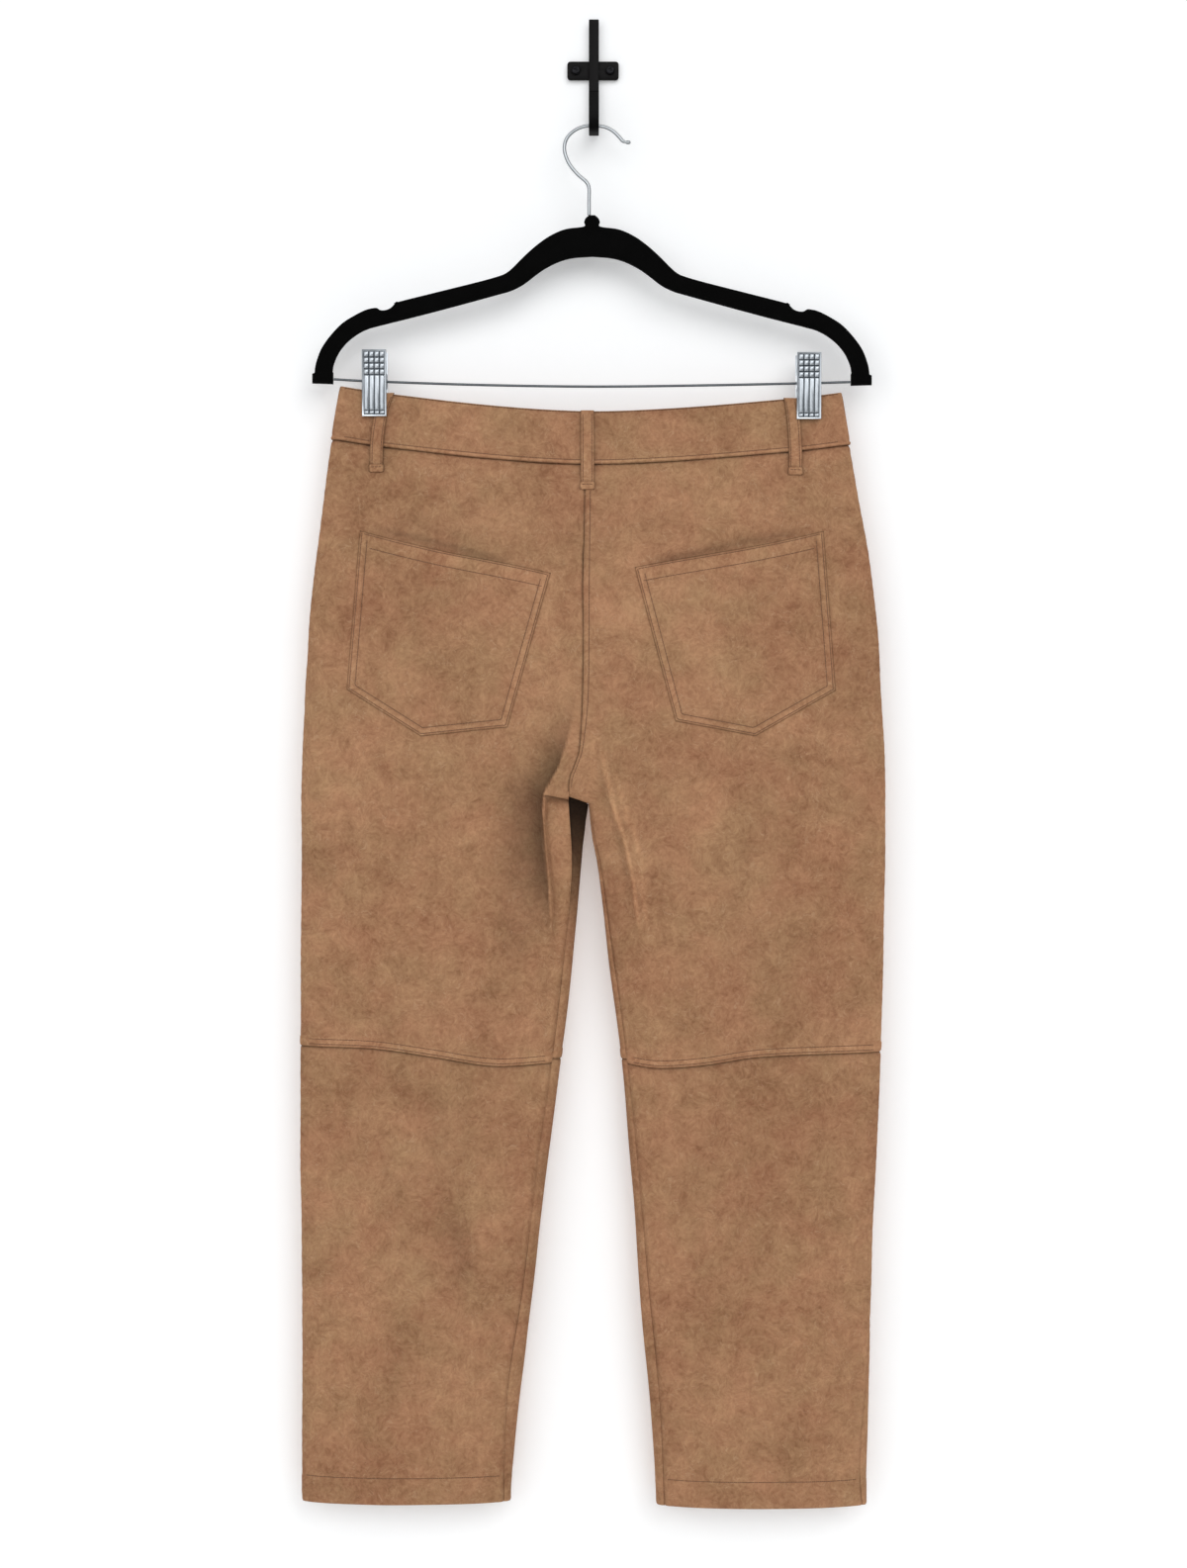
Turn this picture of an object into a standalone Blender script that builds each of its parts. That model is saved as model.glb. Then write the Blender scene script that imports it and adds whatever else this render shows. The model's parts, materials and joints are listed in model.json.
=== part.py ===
"""Faux suede utility trousers, back to the viewer, held by a clip hanger on a wall hook.

The origin is the middle of the wall plate's back face. The wall is the plane y = 0, the trousers hang
in front of it towards -Y with their back outwards, +X is the viewer's right and +Z is up. Sizes below
are millimetres, and heights are given as the drop below the origin.
"""

import math
from functools import lru_cache

import bmesh
import bpy
from mathutils import Vector

MM = 0.001

# Cloth
CLOTH_WALL = 1.2
BAND_WALL = 2.0
SEAM_GAP = 0.3
HALF_GAP = SEAM_GAP / 2
HANG_Y = -26.0  # middle plane of the hanger and of the flat garment
LEFT, RIGHT = -1, 1
CROTCH_DROP = 590.6  # where the two legs part
SEAT_DROP = 585.0  # lowest point of the centre back seam, where the four panels meet
FORK_STEPS = (0.8, 2.0)  # close rows of the left front below the fork between the legs
KNEE_SAG_FROM = 700.0  # rows bend towards the knee seam below this drop
WAIST_SAG_TO = 450.0  # rows lie level below this drop
BACK_COLUMNS = 15
FRONT_COLUMNS = 12
LAST_CELL = 4.0  # width of the cell beside an inner seam
FOLD_COLUMNS = 5  # the closer columns beside a panel's inner edge
FOLD_SHARE = 0.68  # where those start on a front, as a share of the turn to the inner fold

# Drop, outer and inner fold of each leg, how far the back and front stand off the middle plane, and
# how far the torso has split into two legs (0 is one wide tube, 1 is two).
SECTION_COLUMNS = ("drop", "left_out", "left_in", "right_in", "right_out", "back", "front", "split")
SECTIONS = (
    (257.6, -201.8, -3.4, -3.4, 197.4, 4.0, 3.5, 0.00),
    (301.0, -208.8, -3.4, -3.4, 204.6, 8.0, 6.0, 0.00),
    (344.0, -214.3, -3.4, -3.4, 212.0, 14.0, 10.0, 0.00),
    (384.0, -219.1, -3.4, -3.4, 219.1, 18.5, 12.5, 0.00),
    (423.0, -223.8, -3.6, -3.6, 223.8, 21.5, 14.5, 0.02),
    (463.0, -227.3, -3.8, -3.8, 228.2, 23.5, 15.5, 0.07),
    (502.0, -230.0, -4.0, -4.0, 230.7, 24.5, 16.0, 0.20),
    (542.0, -231.2, -4.0, -4.0, 232.4, 24.5, 16.0, 0.47),
    (566.0, -231.8, -3.8, -3.8, 233.0, 23.8, 15.5, 0.71),
    (581.0, -232.4, -3.6, -3.6, 233.3, 23.0, 15.2, 0.89),
    (590.6, -232.6, -3.6, -3.6, 233.3, 22.5, 15.0, 1.00),
    (616.0, -232.7, -6.7, -1.2, 233.3, 21.5, 14.5, 1.00),
    (640.0, -233.0, -9.1, 3.6, 233.2, 20.8, 14.2, 1.00),
    (676.0, -233.3, -12.2, 8.3, 232.6, 20.0, 14.0, 1.00),
    (723.0, -233.3, -17.0, 13.8, 231.7, 19.0, 13.5, 1.00),
    (771.0, -233.3, -22.5, 20.1, 230.1, 18.0, 13.0, 1.00),
    (818.0, -233.6, -28.0, 24.9, 228.4, 17.5, 12.5, 1.00),
    (897.0, -233.3, -38.3, 31.2, 224.6, 17.0, 12.0, 1.00),
    (976.0, -232.7, -47.8, 37.5, 222.0, 16.5, 12.0, 1.00),
    (1055.0, -231.8, -57.2, 43.8, 220.0, 16.5, 12.0, 1.00),
    (1134.0, -232.6, -65.1, 50.1, 218.4, 17.0, 12.0, 1.00),
    (1150.0, -232.2, -65.4, 50.9, 218.3, 17.0, 12.0, 1.00),
)

# Seam lines on the cloth: drop, x
CENTRE_BACK_SEAM = (
    (321.0, -6.3),
    (420.0, -7.4),
    (500.0, -8.0),
    (548.0, -10.6),
    (561.0, -14.6),
    (571.0, -18.4),
    (585.0, -19.3),
)
LEFT_INSEAM = (
    (590.6, -19.2),
    (635.0, -16.4),
    (664.0, -17.6),
    (703.0, -21.7),
    (787.0, -31.4),
    (871.0, -43.4),
    (976.0, -55.5),
    (1055.0, -67.5),
    (1122.0, -70.3),
    (1150.0, -70.3),
)
RIGHT_INSEAM = (
    (590.6, -2.9),
    (616.0, -0.1),
    (640.0, 4.8),
    (687.0, 12.0),
    (755.0, 21.9),
    (834.0, 31.3),
    (976.0, 44.2),
    (1055.0, 51.9),
    (1150.0, 56.6),
)
# The right side seam turns onto the back near the hem: drop, distance in from the fold
RIGHT_SIDE_SEAM = ((1000.0, 0.0), (1055.0, 2.4), (1094.0, 5.4), (1122.0, 6.0), (1150.0, 3.4))
# Knee seams on the back and front: x, drop
KNEE_LINE_LEFT = ((-233.0, 783.4), (-174.0, 785.0), (-127.0, 791.3), (-80.0, 798.6), (-33.0, 797.0))
KNEE_LINE_RIGHT = ((26.0, 797.4), (51.0, 800.6), (86.0, 798.2), (133.0, 791.3), (230.0, 788.2))
KNEE_LINE_FRONT_LEFT = ((-233.0, 783.4), (-26.0, 793.6))
KNEE_LINE_FRONT_RIGHT = ((22.0, 794.0), (230.0, 788.2))
KNEE_SIDE_X = {LEFT: -233.0, RIGHT: 230.0}  # where each knee seam meets the side seam
KNEE_DIP_FADE = 90.0  # length below a knee seam over which rows turn level
HEM_DROP = {LEFT: 1146.0, RIGHT: 1149.0}

# Waistband: drop of its edges at each side fold, and how much lower they lie at the middle
BAND_TOP_SIDE = {LEFT: 257.6, RIGHT: 262.4}
BAND_BOTTOM_SIDE = {LEFT: 300.9, RIGHT: 304.8}
BAND_TOP_MIDDLE = {"back": 278.8, "front": 300.0}
BAND_BOTTOM_MIDDLE = {"back": 321.4, "front": 342.6}
BAND_HALF_WIDTH = 204.0
BAND_CURVE = 1.6
BAND_PROUD = 0.4
UNDERLAP = 35.0
BAND_STEPS = 9  # cells in each quarter of the band
LAP_STEPS = 3
LAP_START = 3.0  # the cell that steps in from the band to its underlap starts this far along it

# Clips pinch the waistband flat
CLIP_X = {LEFT: -174.0, RIGHT: 171.8}
CLIP_TOP = {LEFT: 230.0, RIGHT: 232.2}
CLIP_HEIGHT = 52.6
CLIP_WIDTH = 19.3
PINCH_WIDTH = 26.0
PINCH_FROM = 284.0
PINCH_FADE = 55.0

# Rows of the upper and lower panels, by their drop at the side seam
UPPER_ROWS = (
    318, 338, 362, 388, 414, 438, 462, 485, 505, 522, 538, 550, 560, 569, 577,
    SEAT_DROP, CROTCH_DROP, 597, 606, 617, 630, 645, 662, 682, 705, 730, 757,
)  # fmt: skip
LOWER_ROWS = (800, 830, 865, 905, 950, 1000, 1050, 1095, 1125)

# Large folds on the back: name, height towards the viewer, half width, and its line of (x, drop)
FOLDS = (
    ("left thigh hollow", -5.5, 15.0, ((-52, 510), (-55, 560), (-58, 620), (-60, 690), (-66, 740))),
    ("left thigh edge", 3.0, 6.0, ((-17, 535), (-25, 560), (-39, 583), (-38, 620), (-35, 660), (-32, 700))),
    ("right thigh edge", 2.2, 6.0, ((3, 535), (11, 564), (18, 600), (30, 636), (40, 700), (42, 745))),
    ("right thigh hollow", -2.0, 9.0, ((20, 540), (28, 575), (40, 620), (52, 690))),
    ("left shin hollow", -3.0, 22.0, ((-120, 800), (-118, 900), (-112, 1000))),
    ("right shin hollow", -2.5, 20.0, ((120, 820), (124, 920), (122, 1020))),
    ("left hip hollow", -2.0, 18.0, ((-150, 330), (-130, 380), (-95, 430))),
    ("right waist dent", -1.8, 8.0, ((192, 312), (196, 345))),
)
FOLD_FADE = 40.0  # length over which a fold dies out at its ends
FOLD_END = 0.15  # how far into that fade a fold's very end already is
FOLD_SIDE_FADE = 1.6  # a fold keeps its height until the section turns this steeply to the side
# Below the seat the left inner thigh lies behind the fold edge: drop, x of that edge
THIGH_EDGE = ((585.0, -40.0), (606.0, -39.6), (643.0, -36.0), (660.0, -35.0), (710.0, -33.0))
THIGH_SET_BACK = 0.48
THIGH_EDGE_WIDTH = 5.0
THIGH_FADE = (640.0, 715.0)
# Where the closer columns of each back start: drop, x
FOLD_LINE_LEFT = (
    (320.0, -46.0),
    (560.0, -42.0),
    (606.0, -40.6),
    (660.0, -36.0),
    (710.0, -39.0),
    (797.0, -56.0),
)
FOLD_LINE_RIGHT = ((320.0, 40.0), (585.0, 22.0), (640.0, 32.0), (700.0, 42.0), (797.0, 60.0))
# Patch pockets: corners as (x, drop)
POCKETS = {
    "back_pocket_left": dict(
        top_outer=(-185.0, 374.0),
        top_inner=(-33.5, 408.6),
        low_inner=(-67.5, 530.3),
        point=(-136.0, 537.4),
        low_outer=(-195.0, 500.3),
    ),
    "back_pocket_right": dict(
        top_outer=(183.0, 374.4),
        top_inner=(33.0, 404.0),
        low_inner=(65.0, 525.6),
        point=(128.0, 537.4),
        low_outer=(192.0, 501.2),
    ),
}
POCKET_CELLS = 8
PATCH_GAP = 0.45
MOUTH_SAG = 3.0

# Belt loops: face, x at the top and foot, drop of the foot
BELT_LOOPS = {
    "belt_loop_back_left": ("back", -163.5, -172.5, 326.8),
    "belt_loop_back_middle": ("back", -4.6, -4.4, 341.8),
    "belt_loop_back_right": ("back", 157.0, 161.0, 329.2),
    "belt_loop_front_left": ("front", -105.0, -105.0, 349.0),
    "belt_loop_front_right": ("front", 105.0, 105.0, 349.0),
}
LOOP_WIDTH = 10.8
LOOP_WALL = 1.2
LOOP_LIFT = 0.5  # the middle of a loop stands this much further off the band
LOOP_TOP_RISE = 0.2  # a loop's top stands this much above the band
LOOP_STEPS = 8
LOOP_LEAVES_BAND = (5.0, 11.0)  # a loop comes down to the panel between these drops below the band
FLY_WIDTH = 38.0
FLY_LAP = 1.6  # the flap laps over the front seam by this
FLY_FOOT = 480.0
FLY_MIDDLE = 400.0  # drop at which its straight edge is set out
FLY_TOP_GAP = 0.6  # between the flap and the waistband
FLY_CORNER = 42.0  # how far the flap's foot rises to its outer edge
FLY_ROWS, FLY_COLUMNS = 10, 5
BUTTON_RADIUS = 8.5
BUTTON_X = -18.0
# Profile of the button's cap from its foot to its middle: distance in from the rim, height
BUTTON_RIM = ((1.2, 0.0), (0.0, 0.8), (0.0, 1.6), (1.0, 2.4), (2.4, 2.2))
BUTTON_HEIGHT = 2.8

# Hanger: half outline as (distance from the middle, drop), measured on the left arm
HANGER_X = -0.8
HANGER_THICK = 5.5
HANGER_BEVEL = 1.2
HANGER_LEAN = 0.003  # the right arm hangs a little lower
NECK = ((2.4, 121.5), (5.2, 124.0), (6.3, 127.0), (6.6, 130.6))
ARM_TOP = (
    (21.4, 132.7), (34.3, 138.4), (45.5, 146.5), (55.2, 155.3), (62.4, 162.6), (68.1, 167.4),
    (74.6, 170.2), (90.6, 174.7), (122.8, 182.7), (155.1, 190.8), (157.5, 192.4), (160.8, 195.6),
    (164.8, 197.2), (168.8, 197.2), (171.5, 195.6), (174.4, 195.6), (180.9, 197.2), (190.6, 202.1),
    (200.2, 208.5), (209.8, 218.9), (216.3, 228.7), (220.3, 239.9), (221.4, 247.2),
)  # fmt: skip
ARM_CAP = ((223.2, 248.0), (223.2, 255.6), (206.4, 256.2), (206.4, 247.2))
ARM_UNDER = (
    (207.0, 246.0), (205.8, 239.9), (201.8, 231.0), (195.4, 223.0), (187.3, 216.6), (179.3, 212.5),
    (171.2, 210.1), (139.0, 202.0), (106.7, 193.5), (74.6, 184.7), (64.9, 181.9), (55.2, 177.1),
    (45.5, 169.8), (37.5, 164.2), (26.2, 158.6), (14.9, 155.6),
)  # fmt: skip
UNDER_MIDDLE_DROP = 154.5
WIRE_RADIUS = 1.4
WIRE_ROUTE = (
    (-3.2, 121.2), (-3.2, 108.0), (-3.2, 100.0), (-5.4, 94.8), (-12.6, 88.4), (-19.4, 79.6),
    (-22.8, 69.6), (-21.4, 60.8), (-15.6, 54.4), (-8.0, 50.8), (0.7, 50.0), (9.0, 50.9), (15.6, 54.0),
    (20.6, 58.6), (24.4, 62.6), (30.0, 63.4),
)  # fmt: skip
BAR_RADIUS = 1.0
BAR_ROUTE = (
    (-206.9, 252.3),
    (-174.0, 254.0),
    (-90.0, 256.8),
    (0.0, 258.1),
    (90.0, 257.1),
    (171.8, 255.4),
    (205.3, 254.5),
)
JAW_WALL = 1.0
JAW_SPREAD = 3.6  # each jaw's top stands this much further out than its grip
JAW_TURN = 8.0  # that lean starts this far below the bar, and a jaw has a row this far above it too
JAW_LIP = 4.0
JAW_GAP = 0.35
BAR_HOLE = 1.75
CHEEK_HEIGHT = 11.0
CHEEK_PAST_BAR = 2.6  # a cheek ends this far past the bar's middle
CHEEK_IN_JAW = 1.2  # and starts this far inside its jaw, both to be merged
SPRING_RADIUS = 2.6
SPRING_LENGTH = 11.0

# Wall hook: the plate's width, thickness and height
PLATE = (41.5, 3.0, 14.6)
PLATE_CORNER = 2.5
SCREW_X = 13.9
SCREW_HEAD = 3.5
SCREW_SHANK = 1.8
SCREW_CLEARANCE = 0.3
HOLE_LENGTH = 8.0
SCREW_TIP = 0.2  # a shank ends this far short of the wall
# Profile of a screw's domed head: distance in from its rim, height over its seat
SCREW_DOME = ((0.0, 0.0), (0.0, 0.6), (1.1, 1.4), (SCREW_HEAD, 1.6))
STRAP_WIDTH = 8.0
STRAP_THICK = 3.0
STRAP_TOP = 40.5
TROUGH_DROP = 51.7  # inside bottom of the hook, just under the wire
PRONG_TOP_DROP = 24.0
TROUGH_FRONT_Y = -33.0
HOOK_BEND = 6.5  # inner radius of both bends
PRONG_CHAMFER = 1.0
HOOK_X = 0.7
ARC_STEPS = 5


def point(x, y, drop):
    return Vector((x, y, -drop)) * MM


def clamp(value, low=0.0, high=1.0):
    return max(low, min(high, value))


def smooth(value):
    value = clamp(value)
    return value * value * (3 - 2 * value)


def track(table, where, column=1):
    """Smooth curve through a table's rows, held level past its ends."""
    keys = [row[0] for row in table]
    if where <= keys[0]:
        return table[0][column]
    if where >= keys[-1]:
        return table[-1][column]
    i = max(k for k in range(len(keys) - 1) if keys[k] <= where)

    def slope(k):
        a, b = max(k - 1, 0), min(k + 1, len(keys) - 1)
        return (table[b][column] - table[a][column]) / (keys[b] - keys[a])

    step = keys[i + 1] - keys[i]
    t = (where - keys[i]) / step
    start, end = table[i][column], table[i + 1][column]
    return (
        (2 * t**3 - 3 * t**2 + 1) * start
        + (t**3 - 2 * t**2 + t) * step * slope(i)
        + (3 * t**2 - 2 * t**3) * end
        + (t**3 - t**2) * step * slope(i + 1)
    )


@lru_cache(maxsize=None)
def section(drop):
    values = {name: track(SECTIONS, drop, i) for i, name in enumerate(SECTION_COLUMNS)}
    if drop < CROTCH_DROP:
        values["left_in"] = values["right_in"]
    values["split"] = clamp(values["split"]) if drop < CROTCH_DROP else 1.0
    return values


def reach_of(side, drop):
    """The outer fold, and the signed distance from it to the crown of that half's section."""
    s = section(drop)
    outer, inner = (s["left_out"], s["left_in"]) if side == LEFT else (s["right_out"], s["right_in"])
    return outer, (inner - outer) / (1 + s["split"])


def angle_at(side, drop, x):
    """The section angle on the back at this x: 0 at the outer fold, pi at a leg's inner fold."""
    outer, reach = reach_of(side, drop)
    return math.acos(clamp(1 - (x - outer) / reach, -1.0, 1.0))


def valley_angle(drop):
    return math.acos(-section(drop)["split"])


def pinch(x, drop):
    """1 where a clip holds both layers flat, fading to 0 around it."""
    across = max(math.exp(-(((x - clip) / PINCH_WIDTH) ** 2)) for clip in CLIP_X.values())
    down = math.exp(-((max(0.0, drop - PINCH_FROM) / PINCH_FADE) ** 2))
    return across * down


def fold_height(x, drop):
    total = 0.0
    for _name, height, width, line in FOLDS:
        nearest, along = 1e9, 0.0
        for (x0, d0), (x1, d1) in zip(line, line[1:]):
            dx, dd = x1 - x0, d1 - d0
            t = clamp(((x - x0) * dx + (drop - d0) * dd) / (dx * dx + dd * dd))
            away = math.hypot(x - x0 - t * dx, drop - d0 - t * dd)
            if away < nearest:
                nearest = away
                along = d0 + t * dd
        ends = min(along - line[0][1], line[-1][1] - along)
        total += height * math.exp(-((nearest / width) ** 2)) * smooth(FOLD_END + ends / FOLD_FADE)
    return total


def thigh_behind(x, drop):
    """How far the left inner thigh lies back under the seat, from 0 to 1."""
    across = smooth((x - track(THIGH_EDGE, drop)) / THIGH_EDGE_WIDTH)
    start = smooth((drop - SEAT_DROP) / (CROTCH_DROP - SEAT_DROP))
    end = smooth((drop - THIGH_FADE[0]) / (THIGH_FADE[1] - THIGH_FADE[0]))
    return across * start * (1 - end)


def skin(side, drop, angle, wall=CLOTH_WALL):
    """A point of the garment's outer face, in millimetres. Angles past pi or under 0 are on the front."""
    s = section(drop)
    outer, reach = reach_of(side, drop)
    x = outer + reach * (1 - math.cos(angle))
    rise = math.sin(angle)
    slab = wall + HALF_GAP
    from_fold = clamp(abs(reach) * (1 - abs(math.cos(angle))) / slab)
    flat = slab * math.sqrt(1 - (1 - from_fold) ** 2)
    loose = 1 - pinch(x, drop)
    if rise >= 0:
        stand = flat + s["back"] * rise * loose
        if side == LEFT and drop > SEAT_DROP:
            stand -= s["back"] * rise * THIGH_SET_BACK * thigh_behind(x, drop)
        stand += fold_height(x, drop) * min(1.0, FOLD_SIDE_FADE * rise) * loose
        return Vector((x, HANG_Y - stand, -drop))
    return Vector((x, HANG_Y + flat - s["front"] * rise * loose, -drop))


def skin_normal(side, drop, angle, wall=CLOTH_WALL):
    """The outward direction of the skin at a point."""
    turn, step = 0.02, 1.0
    across = skin(side, drop, angle + turn, wall) - skin(side, drop, angle - turn, wall)
    down = skin(side, drop + step, angle, wall) - skin(side, drop - step, angle, wall)
    _outer, reach = reach_of(side, drop)
    out = Vector((-math.cos(angle) * math.copysign(1, reach), -math.sin(angle), 0))
    normal = across.cross(down).normalized()
    return normal if normal.dot(out) > 0 else -normal


def band_edge(face, x, side_drops, middle_drops):
    side = LEFT if x < 0 else RIGHT
    middle, edge = middle_drops[face], side_drops[side]
    return middle - (middle - edge) * clamp(abs(x) / BAND_HALF_WIDTH) ** BAND_CURVE


def band_top(face, x):
    return band_edge(face, x, BAND_TOP_SIDE, BAND_TOP_MIDDLE)


def band_bottom(face, x):
    return band_edge(face, x, BAND_BOTTOM_SIDE, BAND_BOTTOM_MIDDLE)


def band_drop(face, x, fraction):
    """Drop at x of a line along the waistband: 0 is its top edge and 1 its foot."""
    return band_top(face, x) * (1 - fraction) + (band_bottom(face, x) - HALF_GAP) * fraction


def knee_drop(side, face, x):
    if face == "back":
        return track(KNEE_LINE_LEFT if side == LEFT else KNEE_LINE_RIGHT, x)
    return track(KNEE_LINE_FRONT_LEFT if side == LEFT else KNEE_LINE_FRONT_RIGHT, x)


def upper_drop(side, face, base, x):
    """Drop of a row of an upper panel at x. Rows follow the waist seam, lie level, then the knee seam."""
    waist_base = BAND_BOTTOM_SIDE[side]
    sag = band_bottom(face, x) - waist_base
    fade = clamp((WAIST_SAG_TO - base) / (WAIST_SAG_TO - waist_base - HALF_GAP))
    knee_base = knee_drop(side, "back", KNEE_SIDE_X[side])
    dip = knee_drop(side, face, x) - knee_base
    near_knee = smooth((base - KNEE_SAG_FROM) / (knee_base - KNEE_SAG_FROM))
    return base + sag * fade + dip * near_knee


def lower_drop(side, face, base, x):
    knee_base = knee_drop(side, "back", KNEE_SIDE_X[side])
    dip = knee_drop(side, face, x) - knee_base
    return base + dip * (1 - smooth((base - knee_base) / KNEE_DIP_FADE))


def side_angle(side, drop):
    """Section angle of the side seam: at the outer fold, but for the foot of the right leg."""
    if side == LEFT or drop < RIGHT_SIDE_SEAM[0][0]:
        return 0.0
    outer, _reach = reach_of(side, drop)
    return angle_at(side, drop, outer - track(RIGHT_SIDE_SEAM, drop))


def inseam_angle(side, drop):
    return angle_at(side, drop, track(LEFT_INSEAM if side == LEFT else RIGHT_INSEAM, drop))


def settled_drop(half, angle, guess, drop_at):
    """The drop at which a row that is drop_at(x) deep at x crosses this section angle."""
    for _ in range(4):
        guess = drop_at(skin(half, guess, angle).x)
    return guess


def level_across(normal):
    """At a centre seam both halves share one normal, with nothing sideways."""
    return Vector((0.0, normal.y, normal.z)).normalized()


def panel_row(side, face, base, drop_of, columns, tip=None):
    """(point, outward normal) pairs along one row of a panel, from the side seam to the inner seam.
    `tip` is the section angle where a row of a leg ends, if that isn't its inseam."""
    torso = base < CROTCH_DROP
    reach = reach_of(side, base)[1]
    start = side_angle(side, base)
    turn = 1 if face == "back" else -1
    tip_side = side
    if torso and face == "front":
        end = tip = valley_angle(base)
    elif torso:
        seam_x = track(CENTRE_BACK_SEAM, base)
        tip_side, tip = LEFT, angle_at(LEFT, base, seam_x)
        end = tip if side == LEFT else valley_angle(base)
    else:
        inseam = inseam_angle(side, base)
        end = tip = tip or (inseam if face == "back" else 2 * math.pi - inseam)
    own_tip = tip_side == side
    if own_tip:
        speed = math.hypot(reach * math.sin(end), section(base)["back"] * math.cos(end))
        end -= LAST_CELL / speed
    if face == "front":
        bend = FOLD_SHARE * (valley_angle(base) if torso else math.pi)
    elif base < knee_drop(side, "back", 0.0):
        bend = angle_at(side, base, track(FOLD_LINE_LEFT if side == LEFT else FOLD_LINE_RIGHT, base))
    else:
        bend = FOLD_SHARE * math.pi
    plain = columns - FOLD_COLUMNS
    angles = [start + (bend * turn - start) * i / plain for i in range(plain)]
    if face == "front" and start > 0:
        angles[1] = 0.0  # the outer fold itself, where the seam lies on the back
    angles += [turn * (bend + (end - bend) * i / (FOLD_COLUMNS - 1)) for i in range(FOLD_COLUMNS)]
    cells = [(side, angle) for angle in angles] + [(tip_side, tip * turn if own_tip else tip)]
    row = []
    for i, (half, angle) in enumerate(cells):
        drop = settled_drop(half, angle, base, lambda x: drop_of(side, face, base, x))
        on_valley = torso and ((i == columns - 1 and not own_tip) or (i == columns and face == "front"))
        normal = skin_normal(half, drop, angle)
        row.append((skin(half, drop, angle), level_across(normal) if on_valley else normal))
    return row


def left_front_fork():
    """Three close rows of the left front. The first ends at the fork between the legs, the second
    runs under the foot of the right back to where the panels meet, and the third starts the inseam."""
    fork = panel_row(LEFT, "front", CROTCH_DROP, upper_drop, FRONT_COLUMNS, tip=math.pi)
    under, inseam_start = (
        panel_row(LEFT, "front", CROTCH_DROP + step, upper_drop, FRONT_COLUMNS) for step in FORK_STEPS
    )
    meeting = angle_at(LEFT, SEAT_DROP, track(CENTRE_BACK_SEAM, SEAT_DROP))
    high, normal = skin(LEFT, SEAT_DROP, meeting), skin_normal(LEFT, SEAT_DROP, meeting)
    low = skin(RIGHT, CROTCH_DROP, inseam_angle(RIGHT, CROTCH_DROP))
    for i, (here, _normal) in enumerate(under):
        if here.y < HANG_Y - CLOTH_WALL:
            along = clamp((here.x - low.x) / (high.x - low.x))
            under[i] = (low.lerp(high, along) + Vector((0, SEAM_GAP, -2 * SEAM_GAP)), normal)
    return [fork, under, inseam_start]


def pulled_in(row, distance=HALF_GAP):
    """The row with both ends moved along it, which leaves the gap at the seams."""
    row = list(row)
    for end, beside in ((0, 1), (-1, -2)):
        step = (row[beside][0] - row[end][0]).normalized() * distance
        row[end] = (row[end][0] + step, row[end][1])
    return row


def wall_mesh(name, rows, wall, lift=0.0):
    """A closed wall through rows of (point, normal): its outer face lies `lift` off the points."""
    mesh = bpy.data.meshes.new(name)
    bm = bmesh.new()
    outer = [[bm.verts.new((p + n * lift) * MM) for p, n in row] for row in rows]
    inner = [[bm.verts.new((p + n * (lift - wall)) * MM) for p, n in row] for row in rows]
    last_row, last_column = len(rows) - 1, len(rows[0]) - 1
    for r in range(last_row):
        for c in range(last_column):
            bm.faces.new((outer[r][c], outer[r][c + 1], outer[r + 1][c + 1], outer[r + 1][c]))
            bm.faces.new((inner[r][c], inner[r + 1][c], inner[r + 1][c + 1], inner[r][c + 1]))
    border = [(0, c) for c in range(last_column)]
    border += [(r, last_column) for r in range(last_row)]
    border += [(last_row, c) for c in range(last_column, 0, -1)]
    border += [(r, 0) for r in range(last_row, 0, -1)]
    for (r0, c0), (r1, c1) in zip(border, border[1:] + border[:1]):
        bm.faces.new((outer[r0][c0], inner[r0][c0], inner[r1][c1], outer[r1][c1]))
    bmesh.ops.recalc_face_normals(bm, faces=bm.faces)
    bm.to_mesh(mesh)
    bm.free()
    mesh.shade_smooth()
    mesh.set_sharp_from_angle(angle=math.radians(50))
    return mesh


def material(name, colour, roughness, metallic=0.0):
    made = bpy.data.materials.new(name)
    made.use_nodes = True
    shader = made.node_tree.nodes["Principled BSDF"]
    shader.inputs["Base Color"].default_value = (*colour, 1.0)
    shader.inputs["Roughness"].default_value = roughness
    shader.inputs["Metallic"].default_value = metallic
    return made


def add_object(name, mesh, look):
    made = bpy.data.objects.new(name, mesh)
    if not mesh.materials:
        mesh.materials.append(look)
    bpy.context.scene.collection.objects.link(made)
    return made


def trouser_panels(suede):
    for side, side_name in ((LEFT, "left"), (RIGHT, "right")):
        knee_base = knee_drop(side, "back", KNEE_SIDE_X[side])
        spans = (
            ("upper", upper_drop, (BAND_BOTTOM_SIDE[side] + HALF_GAP, *UPPER_ROWS, knee_base - HALF_GAP)),
            ("lower", lower_drop, (knee_base + HALF_GAP, *LOWER_ROWS, HEM_DROP[side])),
        )
        for face, columns in (("back", BACK_COLUMNS), ("front", FRONT_COLUMNS)):
            for span, drop_of, bases in spans:
                rows = []
                for base in bases:
                    if base == CROTCH_DROP and face == "front" and side == LEFT:
                        rows += left_front_fork()
                    else:
                        rows.append(panel_row(side, face, base, drop_of, columns))
                name = f"{face}_{span}_{side_name}"
                add_object(name, wall_mesh(name, [pulled_in(row) for row in rows], CLOTH_WALL), suede)


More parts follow.
